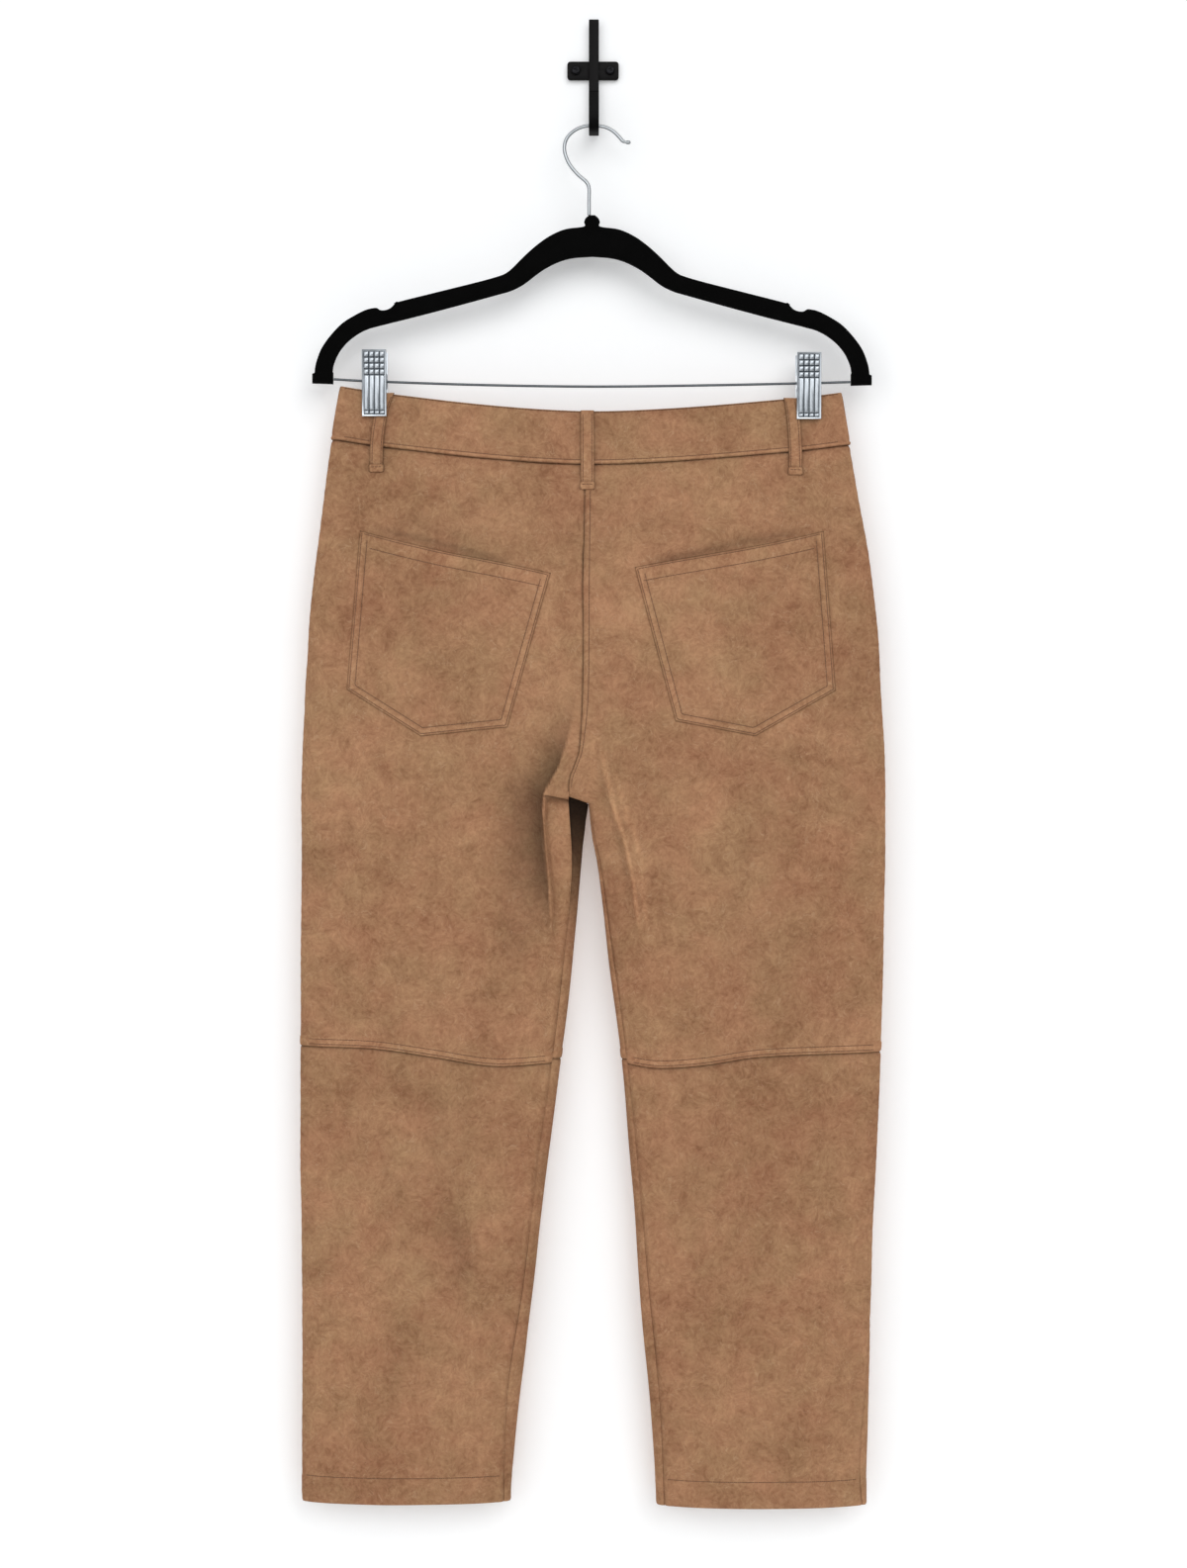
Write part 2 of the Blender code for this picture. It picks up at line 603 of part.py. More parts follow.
def band_angle_path():
    """Half and angle all round the waist: from the front middle, round the right, back and left."""
    end = valley_angle(BAND_TOP_SIDE[LEFT])
    angles = [end * i / BAND_STEPS for i in range(BAND_STEPS + 1)]
    path = [(RIGHT, -angle) for angle in reversed(angles)] + [(RIGHT, angle) for angle in angles[1:]]
    path += [(LEFT, angle) for angle in reversed(angles[:-1])] + [(LEFT, -angle) for angle in angles[1:]]
    return path


def band_row(fraction):
    """One row of the waistband, from its top edge at 0 to its foot at 1, with the underlap first."""
    row = []
    for half, angle in band_angle_path():
        face = "back" if angle >= 0 else "front"
        drop = settled_drop(half, angle, BAND_TOP_SIDE[half], lambda x: band_drop(face, x, fraction))
        here = skin(half, drop, angle, BAND_WALL)
        normal = skin_normal(half, drop, angle, BAND_WALL)
        if math.isclose(abs(angle), valley_angle(drop), abs_tol=0.01):
            normal = level_across(normal)
        row.append((here + normal * BAND_PROUD, normal))
    lap = []
    for i in range(LAP_STEPS, 0, -1):
        x = row[0][0].x - UNDERLAP * i / LAP_STEPS
        drop = band_drop("front", x, fraction)
        angle = -angle_at(LEFT, drop, x)
        here = skin(LEFT, drop, angle, BAND_WALL)
        normal = skin_normal(LEFT, drop, angle, BAND_WALL)
        lap.append((here + normal * (BAND_PROUD - BAND_WALL - SEAM_GAP), normal))
    (start, start_normal), (end, end_normal) = row[0], row[-1]
    halfway = start - start_normal * (BAND_WALL + SEAM_GAP) / 2
    row[0] = (halfway + Vector((LAP_START, 0, 0)), start_normal)
    row[-1] = (end - Vector((SEAM_GAP, 0, 0)), end_normal)
    return lap + row


def waistband(suede):
    rows = [band_row(fraction) for fraction in (0.0, 0.5, 1.0)]
    add_object("waistband", wall_mesh("waistband", rows, BAND_WALL), suede)


def on_panel(face, x, drop, wall=CLOTH_WALL):
    """(point, normal) on the torso's outer face at this x and drop."""
    side = LEFT if x < section(drop)["left_in"] else RIGHT
    angle = angle_at(side, drop, x) * (1 if face == "back" else -1)
    return skin(side, drop, angle, wall), skin_normal(side, drop, angle, wall)


def mix(a, b, t):
    return tuple(u + (v - u) * t for u, v in zip(a, b))


def pockets(suede):
    """Each pocket is a patch laid on its panel: the panel's own points, moved out."""
    for name, pocket in POCKETS.items():
        width = abs(pocket["low_inner"][0] - pocket["low_outer"][0])
        at_point = abs(pocket["point"][0] - pocket["low_outer"][0]) / width
        half = POCKET_CELLS // 2
        across = [at_point * i / half for i in range(half)]
        across += [at_point + (1 - at_point) * i / half for i in range(half + 1)]
        rows = []
        for r in range(POCKET_CELLS + 1):
            row = []
            for s in across:
                top = mix(pocket["top_outer"], pocket["top_inner"], s)
                top = (top[0], top[1] + MOUTH_SAG * math.sin(math.pi * s) * (1 - s))
                if s <= at_point:
                    foot = mix(pocket["low_outer"], pocket["point"], s / at_point)
                else:
                    foot = mix(pocket["point"], pocket["low_inner"], (s - at_point) / (1 - at_point))
                row.append(on_panel("back", *mix(top, foot, r / POCKET_CELLS)))
            rows.append(row)
        add_object(name, wall_mesh(name, rows, CLOTH_WALL, PATCH_GAP + CLOTH_WALL), suede)


def belt_loops(suede):
    """A loop is a strip laid over the band and sewn down above and below it."""
    for name, (face, top_x, foot_x, foot) in BELT_LOOPS.items():
        top = band_top(face, top_x) - LOOP_TOP_RISE
        rows = []
        leaves, lands = LOOP_LEAVES_BAND
        for i in range(LOOP_STEPS + 1):
            t = i / LOOP_STEPS
            middle, drop = mix((top_x, top), (foot_x, foot), t)
            on_band = smooth((band_bottom(face, middle) + lands - drop) / (lands - leaves))
            rise = on_band * (BAND_WALL - CLOTH_WALL + BAND_PROUD) + LOOP_LIFT * math.sin(math.pi * t)
            row = []
            for across in (-0.5, 0.0, 0.5):
                here, normal = on_panel(face, middle + across * LOOP_WIDTH, drop)
                row.append((here + normal * rise, normal))
            rows.append(row)
        add_object(name, wall_mesh(name, rows, LOOP_WALL, PATCH_GAP + LOOP_WALL), suede)


def fly_flap(suede):
    """A flap on the left front, from the front seam out, with a round lower corner."""
    rows = []
    for i in range(FLY_ROWS + 1):
        row = []
        for c in range(FLY_COLUMNS + 1):
            s = c / FLY_COLUMNS
            x = section(FLY_MIDDLE)["left_in"] + FLY_LAP - FLY_WIDTH * s
            top = band_bottom("front", x) + FLY_TOP_GAP
            foot = FLY_FOOT - FLY_CORNER * s**3
            row.append(on_panel("front", x, top + (foot - top) * i / FLY_ROWS))
        rows.append(row)
    add_object("fly_flap", wall_mesh("fly_flap", rows, CLOTH_WALL, PATCH_GAP + CLOTH_WALL), suede)


def turned(name, profile, centre, direction, look, sides=16):
    """A solid turned round `direction` through (radius, height) points, closed at both poles."""
    mesh = bpy.data.meshes.new(name)
    bm = bmesh.new()
    verts = [bm.verts.new((radius * MM, 0.0, height * MM)) for radius, height in profile]
    edges = [bm.edges.new(pair) for pair in zip(verts, verts[1:])]
    bmesh.ops.spin(
        bm, geom=verts + edges, cent=(0, 0, 0), axis=(0, 0, 1), angle=math.tau, steps=sides, use_merge=True
    )
    bmesh.ops.remove_doubles(bm, verts=bm.verts, dist=1e-6)
    bmesh.ops.recalc_face_normals(bm, faces=bm.faces)
    bm.to_mesh(mesh)
    bm.free()
    mesh.shade_smooth()
    mesh.set_sharp_from_angle(angle=math.radians(40))
    made = add_object(name, mesh, look)
    made.rotation_mode = "QUATERNION"
    made.rotation_quaternion = Vector((0, 0, 1)).rotation_difference(Vector(direction))
    made.location = centre
    return made


def waist_button(metal):
    drop = (band_top("front", BUTTON_X) + band_bottom("front", BUTTON_X)) / 2
    here, normal = on_panel("front", BUTTON_X, drop, BAND_WALL)
    centre = (here + normal * (BAND_PROUD + SEAM_GAP)) * MM
    rim = [(BUTTON_RADIUS - inset, height) for inset, height in BUTTON_RIM]
    turned("waist_button", [(0, 0), *rim, (0, BUTTON_HEIGHT)], centre, normal, metal, 20)


def outline_solid(name, outline, low_y, high_y, look, bevel=0.0):
    """An (x, drop) outline extruded from low_y to high_y."""
    mesh = bpy.data.meshes.new(name)
    bm = bmesh.new()
    face = bm.faces.new([bm.verts.new(point(x, low_y, drop)) for x, drop in outline])
    made = bmesh.ops.extrude_face_region(bm, geom=[face])
    moved = [v for v in made["geom"] if isinstance(v, bmesh.types.BMVert)]
    bmesh.ops.translate(bm, verts=moved, vec=(0, (high_y - low_y) * MM, 0))
    bmesh.ops.recalc_face_normals(bm, faces=bm.faces)
    if bevel:
        rims = [e for e in bm.edges if abs(e.verts[0].co.y - e.verts[1].co.y) < 1e-7]
        bmesh.ops.bevel(bm, geom=rims, offset=bevel * MM, segments=1, profile=0.5, affect="EDGES")
    bmesh.ops.triangulate(bm, faces=[f for f in bm.faces if len(f.verts) > 4])
    bm.to_mesh(mesh)
    bm.free()
    mesh.shade_smooth()
    mesh.set_sharp_from_angle(angle=math.radians(40))
    return add_object(name, mesh, look)


def hanger_body(velvet):
    half = [*NECK, *ARM_TOP, *ARM_CAP, *ARM_UNDER]

    def placed(across, drop):
        return HANGER_X + across, drop + HANGER_LEAN * (abs(across) + across)

    outline = [placed(-a, d) for a, d in half] + [placed(0.0, UNDER_MIDDLE_DROP)]
    outline += [placed(a, d) for a, d in reversed(half)]
    low_y, high_y = HANG_Y - HANGER_THICK / 2, HANG_Y + HANGER_THICK / 2
    outline_solid("hanger_body", outline, low_y, high_y, velvet, HANGER_BEVEL)


def smooth_route(points, per_span):
    """Points along a smooth curve through (x, drop) places."""
    placed = [Vector((x, drop)) for x, drop in points]
    ends = [placed[0] * 2 - placed[1], *placed, placed[-1] * 2 - placed[-2]]
    route = []
    for a, b, c, d in zip(ends, ends[1:], ends[2:], ends[3:]):
        for i in range(per_span):
            t = i / per_span
            bend = (2 * a - 5 * b + 4 * c - d) * t**2 + (3 * b - a - 3 * c + d) * t**3
            route.append((2 * b + (c - a) * t + bend) * 0.5)
    return route + [placed[-1]]


def tube(name, route, radius, look, bevel_resolution):
    curve = bpy.data.curves.new(name, "CURVE")
    curve.dimensions = "3D"
    spline = curve.splines.new("POLY")
    spline.points.add(len(route) - 1)
    for target, (x, drop) in zip(spline.points, route):
        target.co = (*point(x, HANG_Y, drop), 1.0)
    curve.bevel_depth = radius * MM
    curve.bevel_resolution = bevel_resolution
    curve.use_fill_caps = True
    curve.materials.append(look)
    made = bpy.data.objects.new(name, curve)
    bpy.context.scene.collection.objects.link(made)
    return made


def box_mesh(name, centre, size):
    mesh = bpy.data.meshes.new(name)
    bm = bmesh.new()
    bmesh.ops.create_cube(bm, size=1.0)
    bmesh.ops.scale(bm, verts=bm.verts, vec=Vector(size) * MM)
    bmesh.ops.translate(bm, verts=bm.verts, vec=centre)
    bm.to_mesh(mesh)
    bm.free()
    return mesh


def rod(name, centre, axis, radius, length, sides=20):
    """A hidden cylinder that cuts a hole along `axis`."""
    mesh = bpy.data.meshes.new(name)
    bm = bmesh.new()
    bmesh.ops.create_cone(
        bm, cap_ends=True, segments=sides, radius1=radius * MM, radius2=radius * MM, depth=length * MM
    )
    bm.to_mesh(mesh)
    bm.free()
    made = bpy.data.objects.new(name, mesh)
    bpy.context.scene.collection.objects.link(made)
    made.rotation_mode = "QUATERNION"
    made.rotation_quaternion = Vector((0, 0, 1)).rotation_difference(Vector(axis))
    made.location = centre
    made.hide_render = True
    made.display_type = "WIRE"
    return made


def combine(target, other, operation):
    modifier = target.modifiers.new(other.name, "BOOLEAN")
    modifier.operation = operation
    modifier.object = other
    modifier.solver = "EXACT"


def jaw(name, side, facing, grip_y, bar_drop, steel, hole):
    """A stamped jaw: a plate that leans out above the bar, with two cheeks that the bar runs through.
    facing is -1 for the jaw towards the viewer and 1 for the one towards the wall."""
    x = CLIP_X[side]
    top, foot = CLIP_TOP[side], CLIP_TOP[side] + CLIP_HEIGHT
    half = CLIP_WIDTH / 2
    cheek_x = half - JAW_WALL / 2 - (0 if facing < 0 else JAW_WALL + SEAM_GAP)
    turn_drop = bar_drop + JAW_TURN
    drops = (top, top + JAW_LIP, bar_drop - JAW_TURN, turn_drop, foot)
    lean = [JAW_SPREAD * clamp((turn_drop - d) / (turn_drop - top)) for d in drops]
    mesh = bpy.data.meshes.new(name)
    bm = bmesh.new()
    loops = []
    for drop, out in zip(drops, lean):
        near, far = grip_y + facing * out, grip_y + facing * (out + JAW_WALL)
        corners = ((x - half, near), (x + half, near), (x + half, far), (x - half, far))
        loops.append([bm.verts.new(point(cx, cy, drop)) for cx, cy in corners])
    for a, b in zip(loops, loops[1:]):
        for i in range(4):
            bm.faces.new((a[i], a[(i + 1) % 4], b[(i + 1) % 4], b[i]))
    bm.faces.new(loops[0])
    bm.faces.new(list(reversed(loops[-1])))
    bmesh.ops.recalc_face_normals(bm, faces=bm.faces)
    bm.to_mesh(mesh)
    bm.free()
    plate = add_object(name, mesh, steel)
    reach = abs(grip_y - HANG_Y) + CHEEK_PAST_BAR
    size = (JAW_WALL, reach + 2 * CHEEK_IN_JAW, CHEEK_HEIGHT)
    for across in (-1, 1):
        middle = point(x + across * cheek_x, grip_y - facing * (reach / 2 - CHEEK_IN_JAW), bar_drop)
        cheek = bpy.data.objects.new(f"{name}_cheek", box_mesh(f"{name}_cheek", middle, size))
        bpy.context.scene.collection.objects.link(cheek)
        cheek.hide_render = True
        cheek.display_type = "WIRE"
        combine(plate, cheek, "UNION")
    combine(plate, hole, "DIFFERENCE")


def clips(steel):
    for side, side_name in ((LEFT, "left"), (RIGHT, "right")):
        x = CLIP_X[side]
        bar_drop = track([(bx, d) for bx, d in BAR_ROUTE], x)
        centre = point(x, HANG_Y, bar_drop)
        hole = rod(f"clip_{side_name}_hole", centre, (1, 0, 0), BAR_HOLE, CLIP_WIDTH + 6)
        band = BAND_WALL + HALF_GAP + BAND_PROUD
        front_y = HANG_Y - band - PATCH_GAP - LOOP_WALL - LOOP_LIFT - JAW_GAP - JAW_WALL / 2
        back_y = HANG_Y + band + JAW_GAP + JAW_WALL / 2
        jaw(f"clip_{side_name}_front_jaw", side, -1, front_y, bar_drop, steel, hole)
        jaw(f"clip_{side_name}_back_jaw", side, 1, back_y, bar_drop, steel, hole)
        spring = rod(f"clip_{side_name}_spring", centre, (1, 0, 0), SPRING_RADIUS, SPRING_LENGTH)
        spring.hide_render = False
        spring.display_type = "TEXTURED"
        spring.data.materials.append(steel)
        combine(spring, hole, "DIFFERENCE")


def wall_plate(iron):
    width, thick, height = PLATE
    r = PLATE_CORNER
    corners = ((1, 1), (-1, 1), (-1, -1), (1, -1))
    outline = []
    for n, (sx, sz) in enumerate(corners):
        for step in range(4):
            angle = math.radians(90 * n + 30 * step)
            outline.append(
                (sx * (width / 2 - r) + r * math.cos(angle), -(sz * (height / 2 - r) + r * math.sin(angle)))
            )
    plate = outline_solid("wall_plate", outline, -thick, 0.0, iron)
    for name, sx in (("left", -SCREW_X), ("right", SCREW_X)):
        middle = point(sx, -thick / 2, 0)
        hole = rod(f"screw_hole_{name}", middle, (0, 1, 0), SCREW_SHANK + SCREW_CLEARANCE, HOLE_LENGTH)
        combine(plate, hole, "DIFFERENCE")
        seat = thick + SCREW_CLEARANCE
        profile = [(0, SCREW_TIP), (SCREW_SHANK, SCREW_TIP), (SCREW_SHANK, seat)]
        profile += [(SCREW_HEAD - inset, seat + height) for inset, height in SCREW_DOME]
        turned(f"wall_screw_{name}", profile, point(sx, 0, 0), (0, -1, 0), iron)


def wall_strap(iron):
    """The hook: a flat strip down the plate, forward under the wire and up again as a prong."""
    back = -PLATE[1] - SEAM_GAP
    front = TROUGH_FRONT_Y - STRAP_THICK
    inner_r, outer_r = HOOK_BEND, HOOK_BEND + STRAP_THICK
    low_y, high_y = TROUGH_FRONT_Y + inner_r, back - STRAP_THICK - inner_r
    centre_drop = TROUGH_DROP - inner_r

    def arc(centre_y, radius, start, end):
        return [
            (centre_y + radius * math.cos(math.radians(a)), centre_drop + radius * math.sin(math.radians(a)))
            for a in (start + (end - start) * i / ARC_STEPS for i in range(ARC_STEPS + 1))
        ]

    outline = [(back, -STRAP_TOP)]
    outline += arc(high_y, outer_r, 0, 90) + arc(low_y, outer_r, 90, 180)
    chamfer_drop = PRONG_TOP_DROP + PRONG_CHAMFER
    outline += [(front, chamfer_drop), (front + PRONG_CHAMFER, PRONG_TOP_DROP)]
    outline += [(TROUGH_FRONT_Y - PRONG_CHAMFER, PRONG_TOP_DROP), (TROUGH_FRONT_Y, chamfer_drop)]
    outline += arc(low_y, inner_r, 180, 90) + arc(high_y, inner_r, 90, 0)
    outline += [(back - STRAP_THICK, -STRAP_TOP)]
    mesh = bpy.data.meshes.new("wall_strap")
    bm = bmesh.new()
    low_x, high_x = HOOK_X - STRAP_WIDTH / 2, HOOK_X + STRAP_WIDTH / 2
    face = bm.faces.new([bm.verts.new(point(low_x, y, drop)) for y, drop in outline])
    made = bmesh.ops.extrude_face_region(bm, geom=[face])
    moved = [v for v in made["geom"] if isinstance(v, bmesh.types.BMVert)]
    bmesh.ops.translate(bm, verts=moved, vec=((high_x - low_x) * MM, 0, 0))
    bmesh.ops.recalc_face_normals(bm, faces=bm.faces)
    bmesh.ops.triangulate(bm, faces=[f for f in bm.faces if len(f.verts) > 4])
    bm.to_mesh(mesh)
    bm.free()
    add_object("wall_strap", mesh, iron)


def main():
    for leftover in list(bpy.data.objects):
        bpy.data.objects.remove(leftover)
    suede = material("suede", (0.352, 0.188, 0.101), 0.9)
    velvet = material("black flock", (0.002, 0.002, 0.002), 0.95)
    iron = material("black iron", (0.012, 0.011, 0.011), 0.55, 0.3)
    steel = material("plated steel", (0.62, 0.63, 0.65), 0.25, 1.0)
    brass = material("button metal", (0.20, 0.13, 0.08), 0.4, 0.9)
    trouser_panels(suede)
    waistband(suede)
    belt_loops(suede)
    pockets(suede)
    fly_flap(suede)
    waist_button(brass)
    hanger_body(velvet)
    tube("hanger_hook", smooth_route(WIRE_ROUTE, 2), WIRE_RADIUS, steel, 2)
    tube("hanger_bar", smooth_route(BAR_ROUTE, 2), BAR_RADIUS, steel, 2)
    clips(steel)
    wall_plate(iron)
    wall_strap(iron)


main()
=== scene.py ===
"""Faux suede trousers, back to the viewer, on a clip hanger and a wall hook.

Sizes are millimetres: x to the viewer's right, y towards the wall, and `drop` down from the middle of
the wall plate. A cloth piece is a fine skin on the form of its solid, with a thin wall behind it.
"""

import functools
import json
import math

import bmesh
import bpy
import numpy as np
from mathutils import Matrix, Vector
from mathutils.bvhtree import BVHTree

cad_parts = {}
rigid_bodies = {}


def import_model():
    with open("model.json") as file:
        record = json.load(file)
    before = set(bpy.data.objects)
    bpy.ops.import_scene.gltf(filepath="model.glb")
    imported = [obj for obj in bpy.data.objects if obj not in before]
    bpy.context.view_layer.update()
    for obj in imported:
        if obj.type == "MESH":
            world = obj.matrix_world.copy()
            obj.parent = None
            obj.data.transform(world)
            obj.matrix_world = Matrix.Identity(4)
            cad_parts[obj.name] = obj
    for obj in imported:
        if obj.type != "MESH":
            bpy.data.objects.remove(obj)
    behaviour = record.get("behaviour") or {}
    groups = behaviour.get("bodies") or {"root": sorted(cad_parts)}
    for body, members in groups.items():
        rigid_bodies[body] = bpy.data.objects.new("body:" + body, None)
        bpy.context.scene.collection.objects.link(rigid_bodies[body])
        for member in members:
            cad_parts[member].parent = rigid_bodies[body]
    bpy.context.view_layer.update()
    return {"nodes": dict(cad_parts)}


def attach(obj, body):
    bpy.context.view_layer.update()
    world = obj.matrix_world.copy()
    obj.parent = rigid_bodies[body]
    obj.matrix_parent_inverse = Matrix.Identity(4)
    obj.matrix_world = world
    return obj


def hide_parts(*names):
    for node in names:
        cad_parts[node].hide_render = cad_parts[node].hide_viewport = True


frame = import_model()

MM = 0.001
CLOTH_WALL = 1.2
BAND_WALL = 2.0
SEAM_GAP = 0.3
HALF_GAP = SEAM_GAP / 2
HANG_Y = -26.0
LEFT, RIGHT = -1, 1
SIDES = {LEFT: "left", RIGHT: "right"}
CROTCH_DROP = 590.6
SEAT_DROP = 585.0

# The garment's form: drop, outer and inner fold of each leg, stand of back and front, split
SECTION_COLUMNS = ("drop", "left_out", "left_in", "right_in", "right_out", "back", "front", "split")
SECTIONS = (
    (257.6, -201.8, -3.4, -3.4, 197.4, 4.0, 3.5, 0.00),
    (301.0, -208.8, -3.4, -3.4, 204.6, 8.0, 6.0, 0.00),
    (344.0, -214.3, -3.4, -3.4, 212.0, 14.0, 10.0, 0.00),
    (384.0, -219.1, -3.4, -3.4, 219.1, 18.5, 12.5, 0.00),
    (423.0, -223.8, -3.6, -3.6, 223.8, 21.5, 14.5, 0.02),
    (463.0, -227.3, -3.8, -3.8, 228.2, 23.5, 15.5, 0.07),
    (502.0, -230.0, -4.0, -4.0, 230.7, 24.5, 16.0, 0.20),
    (542.0, -231.2, -4.0, -4.0, 232.4, 24.5, 16.0, 0.47),
    (566.0, -231.8, -3.8, -3.8, 233.0, 23.8, 15.5, 0.71),
    (581.0, -232.4, -3.6, -3.6, 233.3, 23.0, 15.2, 0.89),
    (590.6, -232.6, -3.6, -3.6, 233.3, 22.5, 15.0, 1.00),
    (616.0, -232.7, -6.7, -1.2, 233.3, 21.5, 14.5, 1.00),
    (640.0, -233.0, -9.1, 3.6, 233.2, 20.8, 14.2, 1.00),
    (676.0, -233.3, -12.2, 8.3, 232.6, 20.0, 14.0, 1.00),
    (723.0, -233.3, -17.0, 13.8, 231.7, 19.0, 13.5, 1.00),
    (771.0, -233.3, -22.5, 20.1, 230.1, 18.0, 13.0, 1.00),
    (818.0, -233.6, -28.0, 24.9, 228.4, 17.5, 12.5, 1.00),
    (897.0, -233.3, -38.3, 31.2, 224.6, 17.0, 12.0, 1.00),
    (976.0, -232.7, -47.8, 37.5, 222.0, 16.5, 12.0, 1.00),
    (1055.0, -231.8, -57.2, 43.8, 220.0, 16.5, 12.0, 1.00),
    (1134.0, -232.6, -65.1, 50.1, 218.4, 17.0, 12.0, 1.00),
    (1150.0, -232.2, -65.4, 50.9, 218.3, 17.0, 12.0, 1.00),
)
# Seam lines on the cloth: drop, x
CENTRE_BACK_SEAM = (
    (321.0, -6.3), (420.0, -7.4), (500.0, -8.0), (548.0, -10.6), (561.0, -14.6), (571.0, -18.4),
    (585.0, -19.3),
)  # fmt: skip
INSEAM = {
    LEFT: (
        (590.6, -19.2), (635.0, -16.4), (664.0, -17.6), (703.0, -21.7), (787.0, -31.4), (871.0, -43.4),
        (976.0, -55.5), (1055.0, -67.5), (1122.0, -70.3), (1150.0, -70.3),
    ),
    RIGHT: (
        (590.6, -2.9), (616.0, -0.1), (640.0, 4.8), (687.0, 12.0), (755.0, 21.9), (834.0, 31.3),
        (976.0, 44.2), (1055.0, 51.9), (1150.0, 56.6),
    ),
}  # fmt: skip
RIGHT_SIDE_SEAM = ((1000.0, 0.0), (1055.0, 2.4), (1094.0, 5.4), (1122.0, 6.0), (1150.0, 3.4))
# Knee seams: x, drop
KNEE_LINES = {
    (LEFT, "back"): ((-233.0, 783.4), (-174.0, 785.0), (-127.0, 791.3), (-80.0, 798.6), (-33.0, 797.0)),
    (RIGHT, "back"): ((26.0, 797.4), (51.0, 800.6), (86.0, 798.2), (133.0, 791.3), (230.0, 788.2)),
    (LEFT, "front"): ((-233.0, 783.4), (-26.0, 793.6)),
    (RIGHT, "front"): ((22.0, 794.0), (230.0, 788.2)),
}
HEM_DROP = {LEFT: 1146.0, RIGHT: 1149.0}
HEM_DEPTH = 22.5
KNEE_FELL = 7.4
KNEE_STITCHES = (1.9, KNEE_FELL - 1.6)  # rows above the knee seam
HEM_STITCH = HEM_DEPTH - 1.4
BAND_TOP_SIDE = {LEFT: 257.6, RIGHT: 262.4}
BAND_BOTTOM_SIDE = {LEFT: 300.9, RIGHT: 304.8}
BAND_TOP_MIDDLE = {"back": 278.8, "front": 300.0}
BAND_BOTTOM_MIDDLE = {"back": 321.4, "front": 342.6}
BAND_HALF_WIDTH = 204.0
BAND_CURVE = 1.6
BAND_PROUD = 0.4
BAND_STITCH = 3.2  # a row of stitches this far above the band's foot
UNDERLAP = 35.0
CLIP_X = {LEFT: -174.0, RIGHT: 171.8}
CLIP_TOP = {LEFT: 230.0, RIGHT: 232.2}
CLIP_HEIGHT = 52.6
CLIP_WIDTH = 19.3
PATCH_GAP = 0.45
THIGH_EDGE = ((585.0, -40.0), (606.0, -39.6), (643.0, -36.0), (660.0, -35.0), (710.0, -33.0))
FOLD_LINE = {
    LEFT: ((320.0, -46.0), (560.0, -42.0), (606.0, -40.6), (660.0, -36.0), (710.0, -39.0), (797.0, -56.0)),
    RIGHT: ((320.0, 40.0), (585.0, 22.0), (640.0, 32.0), (700.0, 42.0), (797.0, 60.0)),
}
# Large folds of the solids: height towards the viewer, half width, line of (x, drop)
FOLDS = (
    (-5.5, 15.0, ((-52, 510), (-55, 560), (-58, 620), (-60, 690), (-66, 740))),
    (3.0, 6.0, ((-17, 535), (-25, 560), (-39, 583), (-38, 620), (-35, 660), (-32, 700))),
    (2.2, 6.0, ((3, 535), (11, 564), (18, 600), (30, 636), (40, 700), (42, 745))),
    (-2.0, 9.0, ((20, 540), (28, 575), (40, 620), (52, 690))),
    (-3.0, 22.0, ((-120, 800), (-118, 900), (-112, 1000))),
    (-2.5, 20.0, ((120, 820), (124, 920), (122, 1020))),
    (-2.0, 18.0, ((-150, 330), (-130, 380), (-95, 430))),
    (-1.8, 8.0, ((192, 312), (196, 345))),
)
# Creases too fine for the solids, on the back
BACK_CREASES = (
    (0.9, 1.7, ((-16, 522), (-19, 538), (-27, 561), (-34, 573), (-39.5, 583), (-39.8, 606), (-37, 640))),
    (1.1, 1.8, ((3.6, 522), (4.3, 538), (7.5, 553), (11.4, 569), (13.8, 585), (18, 598), (25, 617),
                (29, 636), (32, 652), (34, 672), (37, 700))),
    (-0.8, 2.6, ((9, 548), (16, 572), (20, 590), (28, 612), (34, 640), (38, 668))),
    (0.7, 2.4, ((12, 545), (20, 575), (24, 592), (33, 615), (38, 640), (41, 668), (43, 705))),
    (-0.9, 2.6, ((-25, 570), (-22, 582))),
    (-0.7, 2.2, ((-11, 568), (-9, 583))),
    (-0.9, 1.4, ((199, 310), (195, 340))),
    (-0.6, 2.6, ((178, 308), (180, 334))),
    (0.5, 2.6, ((186, 308), (188, 338))),
    (-1.0, 12.0, ((-118, 806), (-116, 900), (-106, 985))),
    (-1.3, 4.5, ((-180, 370), (-140, 372), (-95, 386), (-40, 402))),
    (-0.9, 4.0, ((178, 370), (120, 380), (40, 399))),
    (0.6, 5.0, ((-30, 640), (-36, 690), (-44, 740))),
    (-0.6, 4.0, ((-24, 650), (-30, 700), (-36, 745))),
    (0.8, 16.0, ((-150, 640), (-160, 720))),
    (-0.9, 14.0, ((150, 600), (158, 690), (150, 760))),
    (0.8, 12.0, ((90, 560), (84, 640), (92, 740))),
    (-0.7, 10.0, ((-190, 560), (-196, 660))),
    (0.5, 7.0, ((60, 640), (58, 720), (66, 770))),
    (-0.8, 9.0, ((-160, 850), (-152, 960), (-160, 1080))),
    (0.8, 10.0, ((-90, 860), (-84, 960), (-96, 1080))),
    (0.7, 10.0, ((160, 860), (168, 980), (160, 1080))),
    (-0.7, 8.0, ((84, 840), (80, 940), (88, 1060))),
    (0.6, 9.0, ((-212, 380), (-216, 470))),
    (-0.6, 10.0, ((205, 400), (210, 500))),
)  # fmt: skip
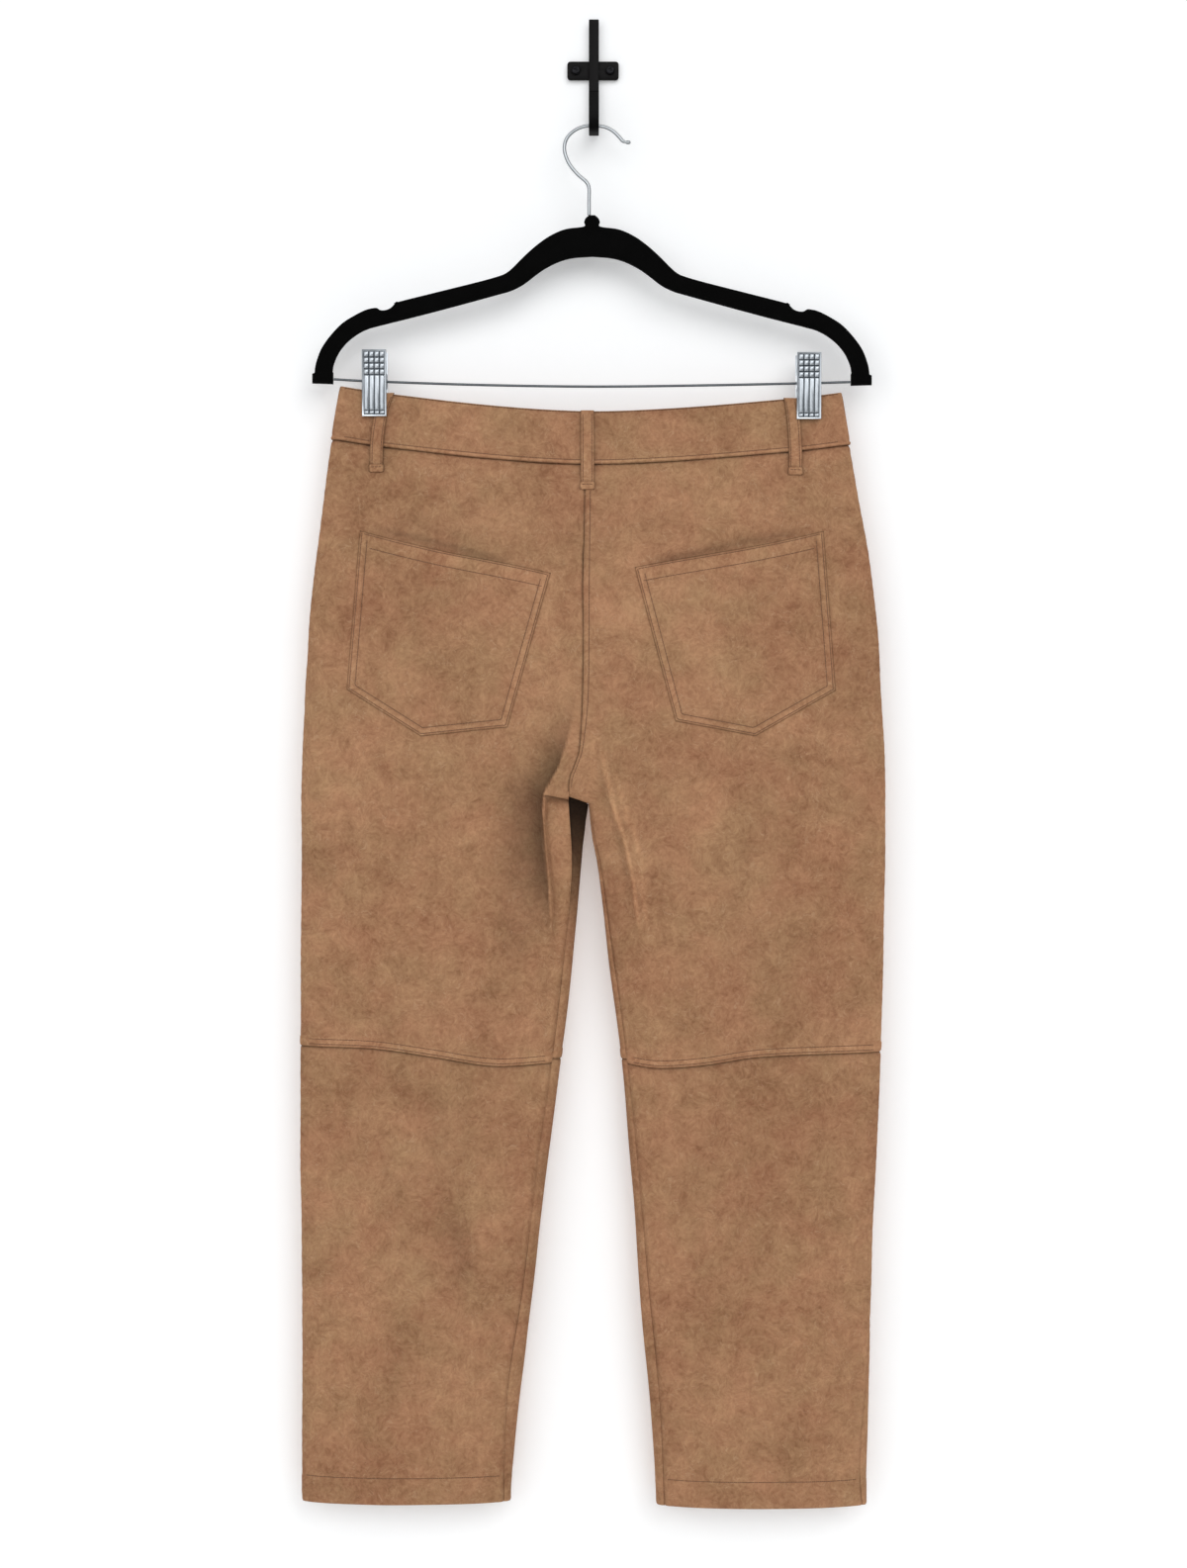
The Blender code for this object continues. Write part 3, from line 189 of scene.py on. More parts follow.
# The front is out of sight: like creases, run out from the fly and down the legs
FRONT_CREASES = (
    (-1.2, 5.0, ((-22, 545), (-60, 520), (-100, 512))),
    (0.9, 4.0, ((-24, 560), (-64, 540), (-110, 535))),
    (-1.1, 5.0, ((16, 545), (56, 518), (96, 508))),
    (0.9, 4.0, ((18, 560), (60, 540), (104, 532))),
    (-1.6, 12.0, ((-70, 600), (-76, 690), (-80, 760))),
    (1.0, 8.0, ((-46, 620), (-52, 700), (-58, 770))),
    (-1.5, 12.0, ((66, 600), (78, 690), (84, 760))),
    (1.0, 8.0, ((40, 620), (50, 700), (58, 770))),
    (1.2, 14.0, ((-150, 600), (-152, 720))),
    (-1.2, 14.0, ((150, 610), (156, 730))),
    (-1.4, 14.0, ((-130, 830), (-128, 940), (-124, 1060))),
    (-1.3, 14.0, ((132, 840), (136, 950), (130, 1060))),
    (0.9, 10.0, ((-180, 850), (-176, 1000))),
    (0.9, 10.0, ((180, 850), (176, 1000))),
    (-0.9, 9.0, ((-150, 350), (-120, 400), (-90, 440))),
    (-0.9, 9.0, ((150, 350), (122, 400), (92, 440))),
)
# Painted shade (under 0) and painted highlight on the back: strength, half width, line of (x, drop)
PAINTED_LIGHT_STROKES = (
    (-0.16, 15.0, ((-58, 555), (-61, 640), (-58, 730))),
    (0.13, 1.8, ((-27, 561), (-34, 573), (-39.5, 583), (-39.8, 606), (-37, 650))),
    (0.30, 1.8, ((4.3, 538), (9, 560), (11.4, 569), (18, 598), (25, 617), (27, 628), (32, 650), (34, 672),
                 (39, 700))),
    (-0.12, 2.6, ((1, 545), (7, 570), (14, 600), (21, 620), (26, 645), (29, 672))),
    (0.10, 3.0, ((-2, 530), (2, 560), (0, 580))),
    (0.22, 2.0, ((14, 560), (20, 575), (27, 602), (33, 615), (36, 632), (41, 668), (43, 700))),
    (-0.08, 9.0, ((-2, 640), (6, 690), (16, 750))),
    (-0.12, 10.0, ((-112, 905), (-102, 960), (-100, 985))),
    (-0.07, 20.0, ((-120, 802), (-116, 900), (-106, 980))),
    (-0.34, 3.2, ((-182, 371), (-140, 380), (-104, 389.5), (-60, 401))),
    (-0.07, 9.0, ((-165, 362), (-110, 376), (-66, 388))),
    (-0.30, 3.2, ((38, 400), (70, 395), (110, 386), (176, 372))),
    (-0.05, 30.0, ((110, 600), (130, 700), (120, 770))),
    (0.05, 5.0, ((230, 420), (231, 780), (220, 1140))),
    (-0.05, 26.0, ((-20, 350), (10, 400))),
)  # fmt: skip

# Unevenness of hanging cloth: size, lean, height
WAVES = (
    (38, 0.4, 0.09), (57, -0.7, 0.13), (81, 0.2, 0.20), (120, 1.1, 0.26), (46, 1.9, 0.08), (95, -1.4, 0.18),
)  # fmt: skip
# The left thigh dips behind a sharp fold edge: depth, how far the dip reaches, painted shade, line of (x,
# drop)
TUCK = (-3.2, 18.0, -0.68, ((-11, 500), (-16.2, 522), (-19.3, 538), (-27.2, 561), (-33.5, 573),
                            (-39.5, 583.5), (-39.9, 606), (-38, 628), (-36.4, 644), (-35.1, 660),
                            (-33.5, 690), (-33, 712)))  # fmt: skip
# Painted shade deep between the thighs, where light falls off: drop, share lost
CROTCH_SHADE = (
    (590.0, 0.97), (604.0, 0.94), (625.0, 0.84), (650.0, 0.60), (676.0, 0.28), (700.0, 0.1), (720.0, 0.0),
)  # fmt: skip
# The foot of the seat hangs over the left thigh along this line: x, drop
SEAT_FOOT = ((-41.0, 583.2), (-30.0, 585.0), (-19.3, 587.0), (0.0, 589.0))

POCKETS = {
    "left": ((-185.0, 374.0), (-33.5, 408.6), (-67.5, 530.3), (-136.0, 537.4), (-195.0, 500.3)),
    "right": ((183.0, 374.4), (33.0, 404.0), (65.0, 525.6), (128.0, 537.4), (192.0, 501.2)),
}
# Face, x at the top and foot, drop of the foot
BELT_LOOPS = {
    "back_left": ("back", -163.5, -172.5, 326.8),
    "back_middle": ("back", -4.6, -4.4, 341.8),
    "back_right": ("back", 157.0, 161.0, 329.2),
    "front_left": ("front", -105.0, -105.0, 349.0),
    "front_right": ("front", 105.0, 105.0, 349.0),
}
LOOP_WIDTH = 10.8
LOOP_WALL = 1.2
LOOP_STITCH = 1.9  # a row of stitches this far inside each edge
LOOP_LIFT = 0.5
TAB_HEIGHT = 5.6
FLY_WIDTH, FLY_LAP, FLY_FOOT = 38.0, 1.6, 480.0
BUTTON_X, BUTTON_RADIUS = -18.0, 8.5
POCKET_STITCHES = (1.8, 6.4)  # rows inside a pocket's edges
MOUTH_STITCHES = (1.8, 12.0)
STITCH_PITCH, HEM_PITCH = 2.4, 3.2
# Painted shade at each stitch's ends, where they sink into the needle holes
STITCH_END_SHADE = -0.75


# ---------------------------------------------------------------- form of the cloth


def smooth(value):
    value = np.clip(value, 0.0, 1.0)
    return value * value * (3 - 2 * value)


@functools.cache
def knots(table):
    """Keys of a table's rows, and the values and slopes of its other columns."""
    rows = np.array(table, float)
    rise = np.concatenate([rows[1:], rows[-1:]]) - np.concatenate([rows[:1], rows[:-1]])
    return rows[:, 0], rows[:, 1:], rise[:, 1:] / rise[:, :1]


def tracks(table, where):
    """Smooth curves through all columns of a table, held level past its ends."""
    keys, held, slopes = knots(table)
    where = np.clip(np.asarray(where, float), keys[0], keys[-1])
    i = np.clip(np.searchsorted(keys, where, side="right") - 1, 0, len(keys) - 2)
    step = (keys[i + 1] - keys[i])[..., None]
    t = (where - keys[i])[..., None] / step
    t2, t3 = t * t, t * t * t
    from_left = (2 * t3 - 3 * t2 + 1) * held[i] + (t3 - 2 * t2 + t) * step * slopes[i]
    from_right = (3 * t2 - 2 * t3) * held[i + 1] + (t3 - t2) * step * slopes[i + 1]
    return from_left + from_right


def track(table, where):
    return tracks(table, where)[..., 0]


def section(drop):
    values = dict(zip(SECTION_COLUMNS[1:], np.moveaxis(tracks(SECTIONS, drop), -1, 0)))
    torso = drop < CROTCH_DROP
    values["left_in"] = np.where(torso, values["right_in"], values["left_in"])
    values["split"] = np.where(torso, np.clip(values["split"], 0, 1), 1.0)
    return values


def reach_of(side, drop):
    s = section(drop)
    left = np.asarray(side) == LEFT
    outer = np.where(left, s["left_out"], s["right_out"])
    inner = np.where(left, s["left_in"], s["right_in"])
    return outer, (inner - outer) / (1 + s["split"])


def angle_at(side, drop, x):
    outer, reach = reach_of(side, drop)
    return np.arccos(np.clip(1 - (x - outer) / reach, -1.0, 1.0))


def valley_angle(drop):
    return np.arccos(-section(drop)["split"])


def pinch(x, drop):
    """How strongly a clip pinches the cloth at a place, from 0 to 1."""
    across = np.maximum(*(np.exp(-(((x - clip) / 26.0) ** 2)) for clip in CLIP_X.values()))
    return across * np.exp(-((np.maximum(0.0, drop - 284.0) / 55.0) ** 2))


def along_line(x, drop, line):
    """Distance to a line of (x, drop), and how far along it the nearest point lies, with its drop."""
    nearest = np.full(np.shape(x), 1e9)
    along, depth = np.zeros(np.shape(x)), np.zeros(np.shape(x))
    done = 0.0
    for (x0, d0), (x1, d1) in zip(line, line[1:]):
        dx, dd = x1 - x0, d1 - d0
        length = math.hypot(dx, dd)
        t = np.clip(((x - x0) * dx + (drop - d0) * dd) / length**2, 0, 1)
        away = np.hypot(x - x0 - t * dx, drop - d0 - t * dd)
        closer = away < nearest
        nearest = np.where(closer, away, nearest)
        along = np.where(closer, done + t * length, along)
        depth = np.where(closer, d0 + t * dd, depth)
        done += length
    return nearest, along, done, depth


def fold_height(x, drop):
    total = np.zeros(np.shape(x))
    for height, width, line in FOLDS:
        nearest, _along, _whole, depth = along_line(x, drop, line)
        ends = np.minimum(depth - line[0][1], line[-1][1] - depth)
        total += height * np.exp(-((nearest / width) ** 2)) * smooth(0.15 + ends / 40.0)
    return total


def strokes(x, drop, table):
    """Sum of soft strokes, each dying out towards its ends."""
    total = np.zeros(np.shape(x))
    for height, width, line in table:
        nearest, along, whole, _depth = along_line(x, drop, line)
        fade = min(30.0, whole / 3)
        ends = np.minimum(along, whole - along)
        total += height * np.exp(-((nearest / width) ** 2)) * smooth(0.05 + ends / fade)
    return total


def skin(side, drop, angle, wall=CLOTH_WALL):
    """Points of the solid's outer face. Angles past pi or under 0 are on the front."""
    s = section(drop)
    outer, reach = reach_of(side, drop)
    x = outer + reach * (1 - np.cos(angle))
    rise = np.sin(angle)
    slab = wall + HALF_GAP
    from_fold = np.clip(abs(reach) * (1 - abs(np.cos(angle))) / slab, 0, 1)
    flat = slab * np.sqrt(1 - (1 - from_fold) ** 2)
    loose = 1 - pinch(x, drop)
    across = smooth((x - track(THIGH_EDGE, drop)) / 5.0)
    behind = across * smooth((drop - SEAT_DROP) / (CROTCH_DROP - SEAT_DROP))
    behind = behind * (1 - smooth((drop - 640.0) / 75.0)) * (np.asarray(side) == LEFT)
    back = flat + s["back"] * rise * (loose - 0.48 * behind)
    back = back + fold_height(x, drop) * np.minimum(1.0, 1.6 * rise) * loose
    front = -flat + s["front"] * rise * loose
    return np.stack([x, HANG_Y - np.where(rise >= 0, back, front), -drop + 0 * x], -1)


def skin_normal(side, drop, angle, wall=CLOTH_WALL):
    """The skin's outward direction at a place."""
    turn, step = 0.02, 1.0
    across = skin(side, drop, angle + turn, wall) - skin(side, drop, angle - turn, wall)
    down = skin(side, drop + step, angle, wall) - skin(side, drop - step, angle, wall)
    normal = np.cross(across, down)
    normal /= np.linalg.norm(normal, axis=-1, keepdims=True) + 1e-12
    reach = reach_of(side, drop)[1]
    out = np.stack([-np.cos(angle) * np.sign(reach), -np.sin(angle), 0 * angle], -1)
    return normal * np.where((normal * out).sum(-1, keepdims=True) < 0, -1.0, 1.0)


def band_edge(face, x, side_drops, middle_drops):
    edge = np.where(np.asarray(x) < 0, side_drops[LEFT], side_drops[RIGHT])
    middle = middle_drops[face]
    return middle - (middle - edge) * np.clip(abs(x) / BAND_HALF_WIDTH, 0, 1) ** BAND_CURVE


def band_top(face, x):
    return band_edge(face, x, BAND_TOP_SIDE, BAND_TOP_MIDDLE)


def band_bottom(face, x):
    return band_edge(face, x, BAND_BOTTOM_SIDE, BAND_BOTTOM_MIDDLE)


def knee_drop(side, face, x):
    return track(KNEE_LINES[side, face], x)


def knee_base(side):
    return float(knee_drop(side, "back", -233.0 if side == LEFT else 230.0))


def upper_drop(side, face, base, x):
    """Drop of a row of an upper panel at x: rows follow the waist seam, lie level, then the knee seam."""
    waist = BAND_BOTTOM_SIDE[side]
    fade = np.clip((450.0 - base) / (450.0 - waist - HALF_GAP), 0, 1)
    near_knee = smooth((base - 700.0) / (knee_base(side) - 700.0))
    dip = knee_drop(side, face, x) - knee_base(side)
    return base + (band_bottom(face, x) - waist) * fade + dip * near_knee


def lower_drop(side, face, base, x):
    dip = knee_drop(side, face, x) - knee_base(side)
    return base + dip * (1 - smooth((base - knee_base(side)) / 90.0))


def seat_fell(drop):
    """Width of the seat seam's felled band, narrower towards the crotch."""
    return 5.6 - 2.4 * smooth((drop - 500.0) / 60.0)


def side_angle(side, drop):
    if side == LEFT or drop < RIGHT_SIDE_SEAM[0][0]:
        return 0.0
    outer, _reach = reach_of(side, drop)
    return float(angle_at(side, drop, outer - track(RIGHT_SIDE_SEAM, drop)))


# ---------------------------------------------------------------- cloth pieces

EDGE_STEPS = np.array([0.0, 0.35, 0.8, 1.3, 1.9, 2.6, 3.6])
MAIN_COLUMNS, FOLD_COLUMNS = 62, 20
ACROSS_PER_TURN = 60.0  # millimetres of x for one unit of path past the middle valley


def on_path(side, drop, path, torso_back):
    """Half and section angle at a place on a row's path, which on the right back runs past the
    middle onto the left half."""
    if not (torso_back and side == RIGHT):
        return np.full(np.shape(path), side), path
    valley = valley_angle(drop)
    x = section(drop)["right_in"] - (path - valley) * ACROSS_PER_TURN
    past = path > valley
    return np.where(past, LEFT, RIGHT), np.where(past, angle_at(LEFT, drop, x), path)


def row_places(side, face, base, drop_of, path):
    """Half, drop and section angle at places on the path of one row."""
    half, angle = on_path(side, base, path, base < CROTCH_DROP and face == "back")
    drop = np.full(np.shape(path), float(base))
    for _ in range(4):
        outer, reach = reach_of(half, drop)
        drop = drop_of(side, face, base, outer + reach * (1 - np.cos(angle)))
    return half, drop, angle


def row_points(side, face, base, drop_of, path):
    """Points and outward normals at places on the path of one row."""
    half, drop, angle = row_places(side, face, base, drop_of, path)
    points = skin(half, drop, angle)
    normals = skin_normal(half, drop, angle)
    if base < CROTCH_DROP:  # both halves share a normal where they meet in the middle
        near = smooth(abs(points[:, 0] - section(drop)["right_in"]) / 7.0)
        normals[:, 0] *= np.where(abs(normals[:, 1]) > 0.3, near, 1.0)
        normals /= np.linalg.norm(normals, axis=-1, keepdims=True)
    return points, normals


def panel_row(side, face, base, drop_of, tip=None):
    """One row of a panel from its side seam to its inner seam, evenly spaced along the cloth but
    closer at the seams and by the inner thigh. Also gives the distance from each of the two seams."""
    torso = base < CROTCH_DROP
    start = side_angle(side, base)
    valley = float(valley_angle(base))
    if torso and face == "front":
        end, bend = -valley, -0.68 * valley
    elif torso:
        seam_x = track(CENTRE_BACK_SEAM, base)
        bend = float(angle_at(side, base, track(FOLD_LINE[side], base)))
        end = float(angle_at(LEFT, base, seam_x))
        if side == RIGHT:
            end = valley + (float(section(base)["right_in"]) - seam_x) / ACROSS_PER_TURN
    else:
        inseam = float(angle_at(side, base, track(INSEAM[side], base)))
        upper = face == "back" and base < knee_base(side)
        bend = float(angle_at(side, base, track(FOLD_LINE[side], base))) if upper else 0.68 * math.pi
        end = inseam
        if face == "front":
            end, bend = inseam - 2 * math.pi, -bend
            if tip is not None:
                end = -tip
    path = np.linspace(start, end, 500)
    points = skin(*row_places(side, face, base, drop_of, path))
    steps = np.linalg.norm(np.diff(points, axis=0), axis=1)
    run = np.concatenate([[0.0], np.cumsum(steps)])
    first, last = HALF_GAP, run[-1] - HALF_GAP
    turn = float(np.interp(bend, path, run) if end > start else np.interp(-bend, -path, run))
    places = np.concatenate([
        first + EDGE_STEPS[:-1],
        np.linspace(first + EDGE_STEPS[-1], turn, MAIN_COLUMNS),
        np.linspace(turn, last - EDGE_STEPS[-1], FOLD_COLUMNS + 1)[1:],
        last - EDGE_STEPS[-2::-1],
    ])  # fmt: skip
    points, normals = row_points(side, face, base, drop_of, np.interp(places, run, path))
    return points, normals, places - first, last - places


def left_front_fork(row):
    """Brings the inner end of a row under the foot of the right back, where the four panels meet."""
    points, normals, from_side, from_inner = row
    meeting = angle_at(LEFT, SEAT_DROP, track(CENTRE_BACK_SEAM, SEAT_DROP))
    high = skin(LEFT, np.float64(SEAT_DROP), meeting)
    across = skin_normal(LEFT, np.float64(SEAT_DROP), meeting)
    joining = angle_at(RIGHT, CROTCH_DROP, track(INSEAM[RIGHT], CROTCH_DROP))
    low = skin(RIGHT, np.float64(CROTCH_DROP), joining)
    behind = points[:, 1] < HANG_Y - CLOTH_WALL
    t = np.clip((points[:, 0] - low[0]) / (high[0] - low[0]), 0, 1)[:, None]
    moved = low + (high - low) * t + np.array([0, SEAM_GAP, -2 * SEAM_GAP])
    points = np.where(behind[:, None], moved, points)
    normals = np.where(behind[:, None], across, normals)
    return points, normals, from_side, from_inner


def row_bases(first, last, step, kept=()):
    """Drops of a panel's rows, closer at both ends, with some kept as they are."""
    inner_first, inner_last = first + EDGE_STEPS[-1], last - EDGE_STEPS[-1]
    middle = np.linspace(inner_first, inner_last, int((inner_last - inner_first) / step))[1:-1]
    bases = np.concatenate([first + EDGE_STEPS, middle, kept, last - EDGE_STEPS])
    bases = np.unique(np.round(bases, 3))
    if len(kept):
        low, high = min(kept), max(kept)
        clear = (bases <= low - 1.0) | (bases >= high + 1.5) | np.isin(bases, np.round(kept, 3))
        bases = bases[clear]
    return bases


def tuck(x, drop):
    """How deep a place lies in the dip beside the fold edge, from 0 to 1."""
    _depth, reach, _shade, line = TUCK
    away, along, whole, _drop = along_line(x, drop, line)
    edge = np.interp(drop, [row[1] for row in line], [row[0] for row in line])
    left = smooth((edge - x + 0.4) / 1.4)
    ends = smooth(along / 75.0) * smooth((whole - along) / 75.0)
    return left * np.exp(-((away / reach) ** 1.7)) * ends


def waviness(x, drop, front):
    """Slow unevenness of hanging cloth, a few tenths of a millimetre."""
    shift = 1.7 if front else 0.0
    total = np.zeros(np.shape(x))
    for n, (size, lean, share) in enumerate(WAVES):
        where = (x * math.cos(lean) + drop * math.sin(lean) * 0.6) / size * math.tau
        bend = 1.4 * np.sin(drop / (53.0 + 11 * n) + 2.1 * n) + 0.9 * np.sin(x / (41.0 + 7 * n) + n)
        total += share * np.sin(where + bend + 1.3 * n + shift)
    return total


def relief(x, drop, face):
    """Creases and unevenness of one face, which fade out beside the clips."""
    creases = BACK_CREASES if face == "back" else FRONT_CREASES
    quiet = 1 - pinch(x, drop)
    return (strokes(x, drop, creases) + 1.1 * waviness(x, drop, face == "front")) * quiet


def roll(distance, depth=0.8, width=1.2):
    """A seam edge that turns in."""
    return -depth * np.exp(-((distance / width) ** 2))


def dent(distance, place, depth=0.3, width=0.8):
    """The groove that a row of stitches pulls."""
    return -depth * np.exp(-(((distance - place) / width) ** 2))


def pucker(along, distance, pitch=8.5, depth=0.16, width=5.0):
    """Small gathers beside a sewn seam."""
    wander = np.sin(along / 23.0) * 1.6 + np.sin(along / 9.7 + 1.0) * 0.7
    return depth * np.sin(along / pitch * math.tau + wander) * np.exp(-((distance / width) ** 2))


def linked(name, mesh, look):
    """An object of a mesh, in the scene, with its faces turned outwards and one material."""
    bm = bmesh.new()
    bm.from_mesh(mesh)
    bmesh.ops.recalc_face_normals(bm, faces=bm.faces)
    bm.to_mesh(mesh)
    bm.free()
    mesh.shade_smooth()
    mesh.materials.append(look)
    made = bpy.data.objects.new(name, mesh)
    bpy.context.scene.collection.objects.link(made)
    return made


def wall_object(name, points, normals, lift, wall, look, painted_light):
    """A closed thin wall behind a grid of points in millimetres, lifted along their normals."""
    points = points + normals * lift[..., None]
    rows, columns = points.shape[:2]
    count = rows * columns
    verts = np.concatenate([points.reshape(-1, 3), (points - normals * wall).reshape(-1, 3)]) * MM
    index = np.arange(count).reshape(rows, columns)
    quads = np.stack([index[:-1, :-1], index[:-1, 1:], index[1:, 1:], index[1:, :-1]], -1).reshape(-1, 4)
    border = np.concatenate([index[0, :-1], index[:-1, -1], index[-1, :0:-1], index[:0:-1, 0]])
    after = np.roll(border, -1)
    rim = np.stack([border, border + count, after + count, after], -1)
    faces = np.concatenate([quads, quads[:, ::-1] + count, rim])
    mesh = bpy.data.meshes.new(name)
    mesh.from_pydata(verts.tolist(), [], faces.tolist())
    made = linked(name, mesh, look)
    mesh.set_sharp_from_angle(angle=math.radians(62))
    # Each point carries its painted light: painted shade under 0, painted highlight over 0, multiplied into
    # the colour.
    attribute = mesh.attributes.new("painted_light", "FLOAT", "POINT")
    attribute.data.foreach_set("value", np.tile(painted_light.ravel(), 2).astype(np.float32))
    return made


def settle(piece, slot, *nodes):
    """The finished piece rides with the one body and stands for its nodes; its slot is not used."""
    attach(piece, "root")
    if nodes:
        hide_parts(*nodes)
    return piece


def panel(side, face, span, look):
    """One cloth panel with its seams, creases, and painted shade and highlight."""
    base_knee = knee_base(side)
    if span == "upper":
        first, last, drop_of = BAND_BOTTOM_SIDE[side] + HALF_GAP, base_knee - HALF_GAP, upper_drop
        bases = row_bases(first, last, 3.4, (SEAT_DROP, CROTCH_DROP))
        extra = last - np.array([KNEE_FELL - 0.8, KNEE_FELL, KNEE_FELL + 0.8])
    else:
        first, last, drop_of = base_knee + HALF_GAP, HEM_DROP[side], lower_drop
        bases = row_bases(first, last, 3.6)
        extra = last - np.array([HEM_DEPTH - 1.0, HEM_DEPTH, HEM_DEPTH + 1.0])
    bases = np.unique(np.concatenate([bases, extra]))
    if span == "upper" and side == LEFT and face == "back":
        bases = np.unique(np.concatenate([bases, np.arange(580.0, 597.0, 0.7)]))
    rows, kept = [], []
    for base in bases:
        if span == "upper" and side == LEFT and face == "front" and base == round(CROTCH_DROP, 3):
            rows.append(panel_row(side, face, CROTCH_DROP, drop_of, tip=math.pi))
            rows.append(left_front_fork(panel_row(side, face, CROTCH_DROP + 0.8, drop_of)))
            kept += [CROTCH_DROP, CROTCH_DROP + 0.8]
        else:
            rows.append(panel_row(side, face, float(base), drop_of))
            kept.append(float(base))
    points, normals, from_side, from_inner = (np.stack(part) for part in zip(*rows))
    base = np.array(kept)[:, None]
    x, drop = points[..., 0], -points[..., 2]
    below_top, above_foot = base - first, last - base
    lift = relief(x, drop, face)
    seat_foot = smooth((abs(drop - 588.0) - 3.0) / 9.0)
    lift = lift * np.where(face == "back", 1.0, seat_foot)
    lift += roll(from_side, 0.7) + roll(from_inner) * (0.25 + 0.75 * seat_foot)
    lift += pucker(drop, from_side, 11.0, 0.12) + pucker(drop, from_inner, 9.0, 0.12) * seat_foot
    if span == "upper":
        fell = smooth((KNEE_FELL + 0.5 - above_foot) / 1.0)
        lift += roll(below_top, 0.9, 1.6) + pucker(x, below_top) + roll(above_foot, 0.8, 0.9)
        lift += 0.55 * fell + sum(dent(above_foot, row, 0.12) for row in KNEE_STITCHES)
        lift += pucker(x, above_foot - KNEE_FELL, 8.0, 0.17, 4.5)
        if face == "back":
            wide = seat_fell(drop)
            if side == RIGHT:
                on_seat = (drop < SEAT_DROP) * 1.0
                fell_edge = 0.3 * smooth((wide + 0.6 - from_inner) / 1.2)
                lift += on_seat * (fell_edge + dent(from_inner, wide - 1.2))
    else:
        hem = smooth((HEM_DEPTH + 0.6 - above_foot) / 1.2)
        lift += roll(below_top, 0.7, 1.3) + pucker(x, below_top, 8.0, 0.14)
        lift += 0.22 * hem + dent(above_foot, HEM_STITCH, 0.3) + roll(above_foot, 0.5, 1.0)
        lift += pucker(x, above_foot - HEM_DEPTH, 10.0, 0.14, 4.5)
    if face == "back" and (span == "lower" or side == LEFT):
        ridge = np.exp(-(((from_inner - 4.2) / 1.6) ** 2)) * smooth((drop - 640) / 60.0)
        lift += 0.55 * ridge
    # Painted light: the back's strokes of painted shade and highlight, a little paler where the cloth stands
    # proud and darker where it sinks, and painted shadow beside the belt loops.
    painted_light = strokes(x, drop, PAINTED_LIGHT_STROKES) if face == "back" else np.zeros(x.shape)
    painted_light = painted_light + 0.03 * np.clip(lift, -2, 1.5) + loop_shadow(x, drop, face == "back")
    # The dip beside the fold edge sinks into the cloth and carries painted shade.
    if side == LEFT and face == "back" and span == "upper":
        depth, _reach, shade, _line = TUCK
        dip = tuck(x, drop)
        lift += depth * dip
        painted_light += shade * dip
    if side == LEFT and span == "upper":
        # Painted shade deep between the thighs, where light falls off; on the front it lies near the inner
        # edge.
        lost = track(CROTCH_SHADE, drop) * (drop > SEAT_DROP - 2)
        if face == "back":
            # Painted shadow under the seat's foot, where it hangs over the left thigh.
            under = drop - np.interp(x, *zip(*SEAT_FOOT))
            inner = smooth((x + 41.0) / 3.0)
            shade = 0.62 * np.exp(-under / 1.9) + 0.16 * np.exp(-under / 14.0)
            painted_light -= inner * smooth((under + 0.5) / 1.0) * shade
            overhang = (1 - smooth((under + 0.5) / 1.4)) * np.exp(-((np.minimum(0, under) / 9.0) ** 2))
            lift += 0.8 * inner * overhang
        else:
            hidden = np.where(base > CROTCH_DROP + 0.1, 24.0, 4.0)  # out of sight from the front
            painted_light -= lost * (base > CROTCH_DROP - 0.1) * smooth((hidden - from_inner) / (0.3 * hidden))
    # Painted highlight on the raised knee band, and painted shadow just under each panel's top seam.
    painted_light += 0.10 * np.exp(-(((above_foot - 0.5 * KNEE_FELL) / 3.2) ** 2)) * (span == "upper")
    painted_light -= 0.42 * np.exp(-((below_top / 1.0) ** 2)) + 0.12 * np.exp(-((below_top / 3.5) ** 2))
    if span == "lower":
        painted_light -= 0.035
    else:
        # Painted shade along the middle seam of the seat.
        on_seat = (drop < SEAT_DROP - 4.0) * (0.42 if side == LEFT else 0.16)
        painted_light -= on_seat * np.exp(-((from_inner / 0.9) ** 2))
    node = f"{face}_{span}_{SIDES[side]}"
    made = wall_object(f"cloth_{node}", points, normals, lift, CLOTH_WALL, look, painted_light)
    return settle(made, "suede", node)


def band_point(half, angle, fraction, face):
    """Points and normals on the waistband at a share of its height."""
    drop = np.full(np.shape(angle), 270.0)
    for _ in range(4):
        outer, reach = reach_of(half, drop)
        x = outer + reach * (1 - np.cos(angle))
        drop = band_top(face, x) * (1 - fraction) + (band_bottom(face, x) - HALF_GAP) * fraction
    return skin(half, drop, angle, BAND_WALL), skin_normal(half, drop, angle, BAND_WALL)


def loop_middle(top_x, foot_x, up):
    """x of a belt loop's middle line at a share of its height above its foot."""
    return top_x + (foot_x - top_x) * (1 - up**3)


def loop_shadow(x, drop, on_back):
    """Painted soft shade on both sides of each belt loop."""
    total = np.zeros(np.shape(x))
    for face, top_x, foot_x, foot in BELT_LOOPS.values():
        middle = loop_middle(top_x, foot_x, np.clip((foot - drop) / 65.0, 0, 1))
        beside = np.exp(-(((abs(x - middle) - LOOP_WIDTH / 2) / 4.0) ** 2))
        total -= 0.15 * beside * smooth((foot + 5.0 - drop) / 6.0) * (on_back == (face == "back"))
    return total


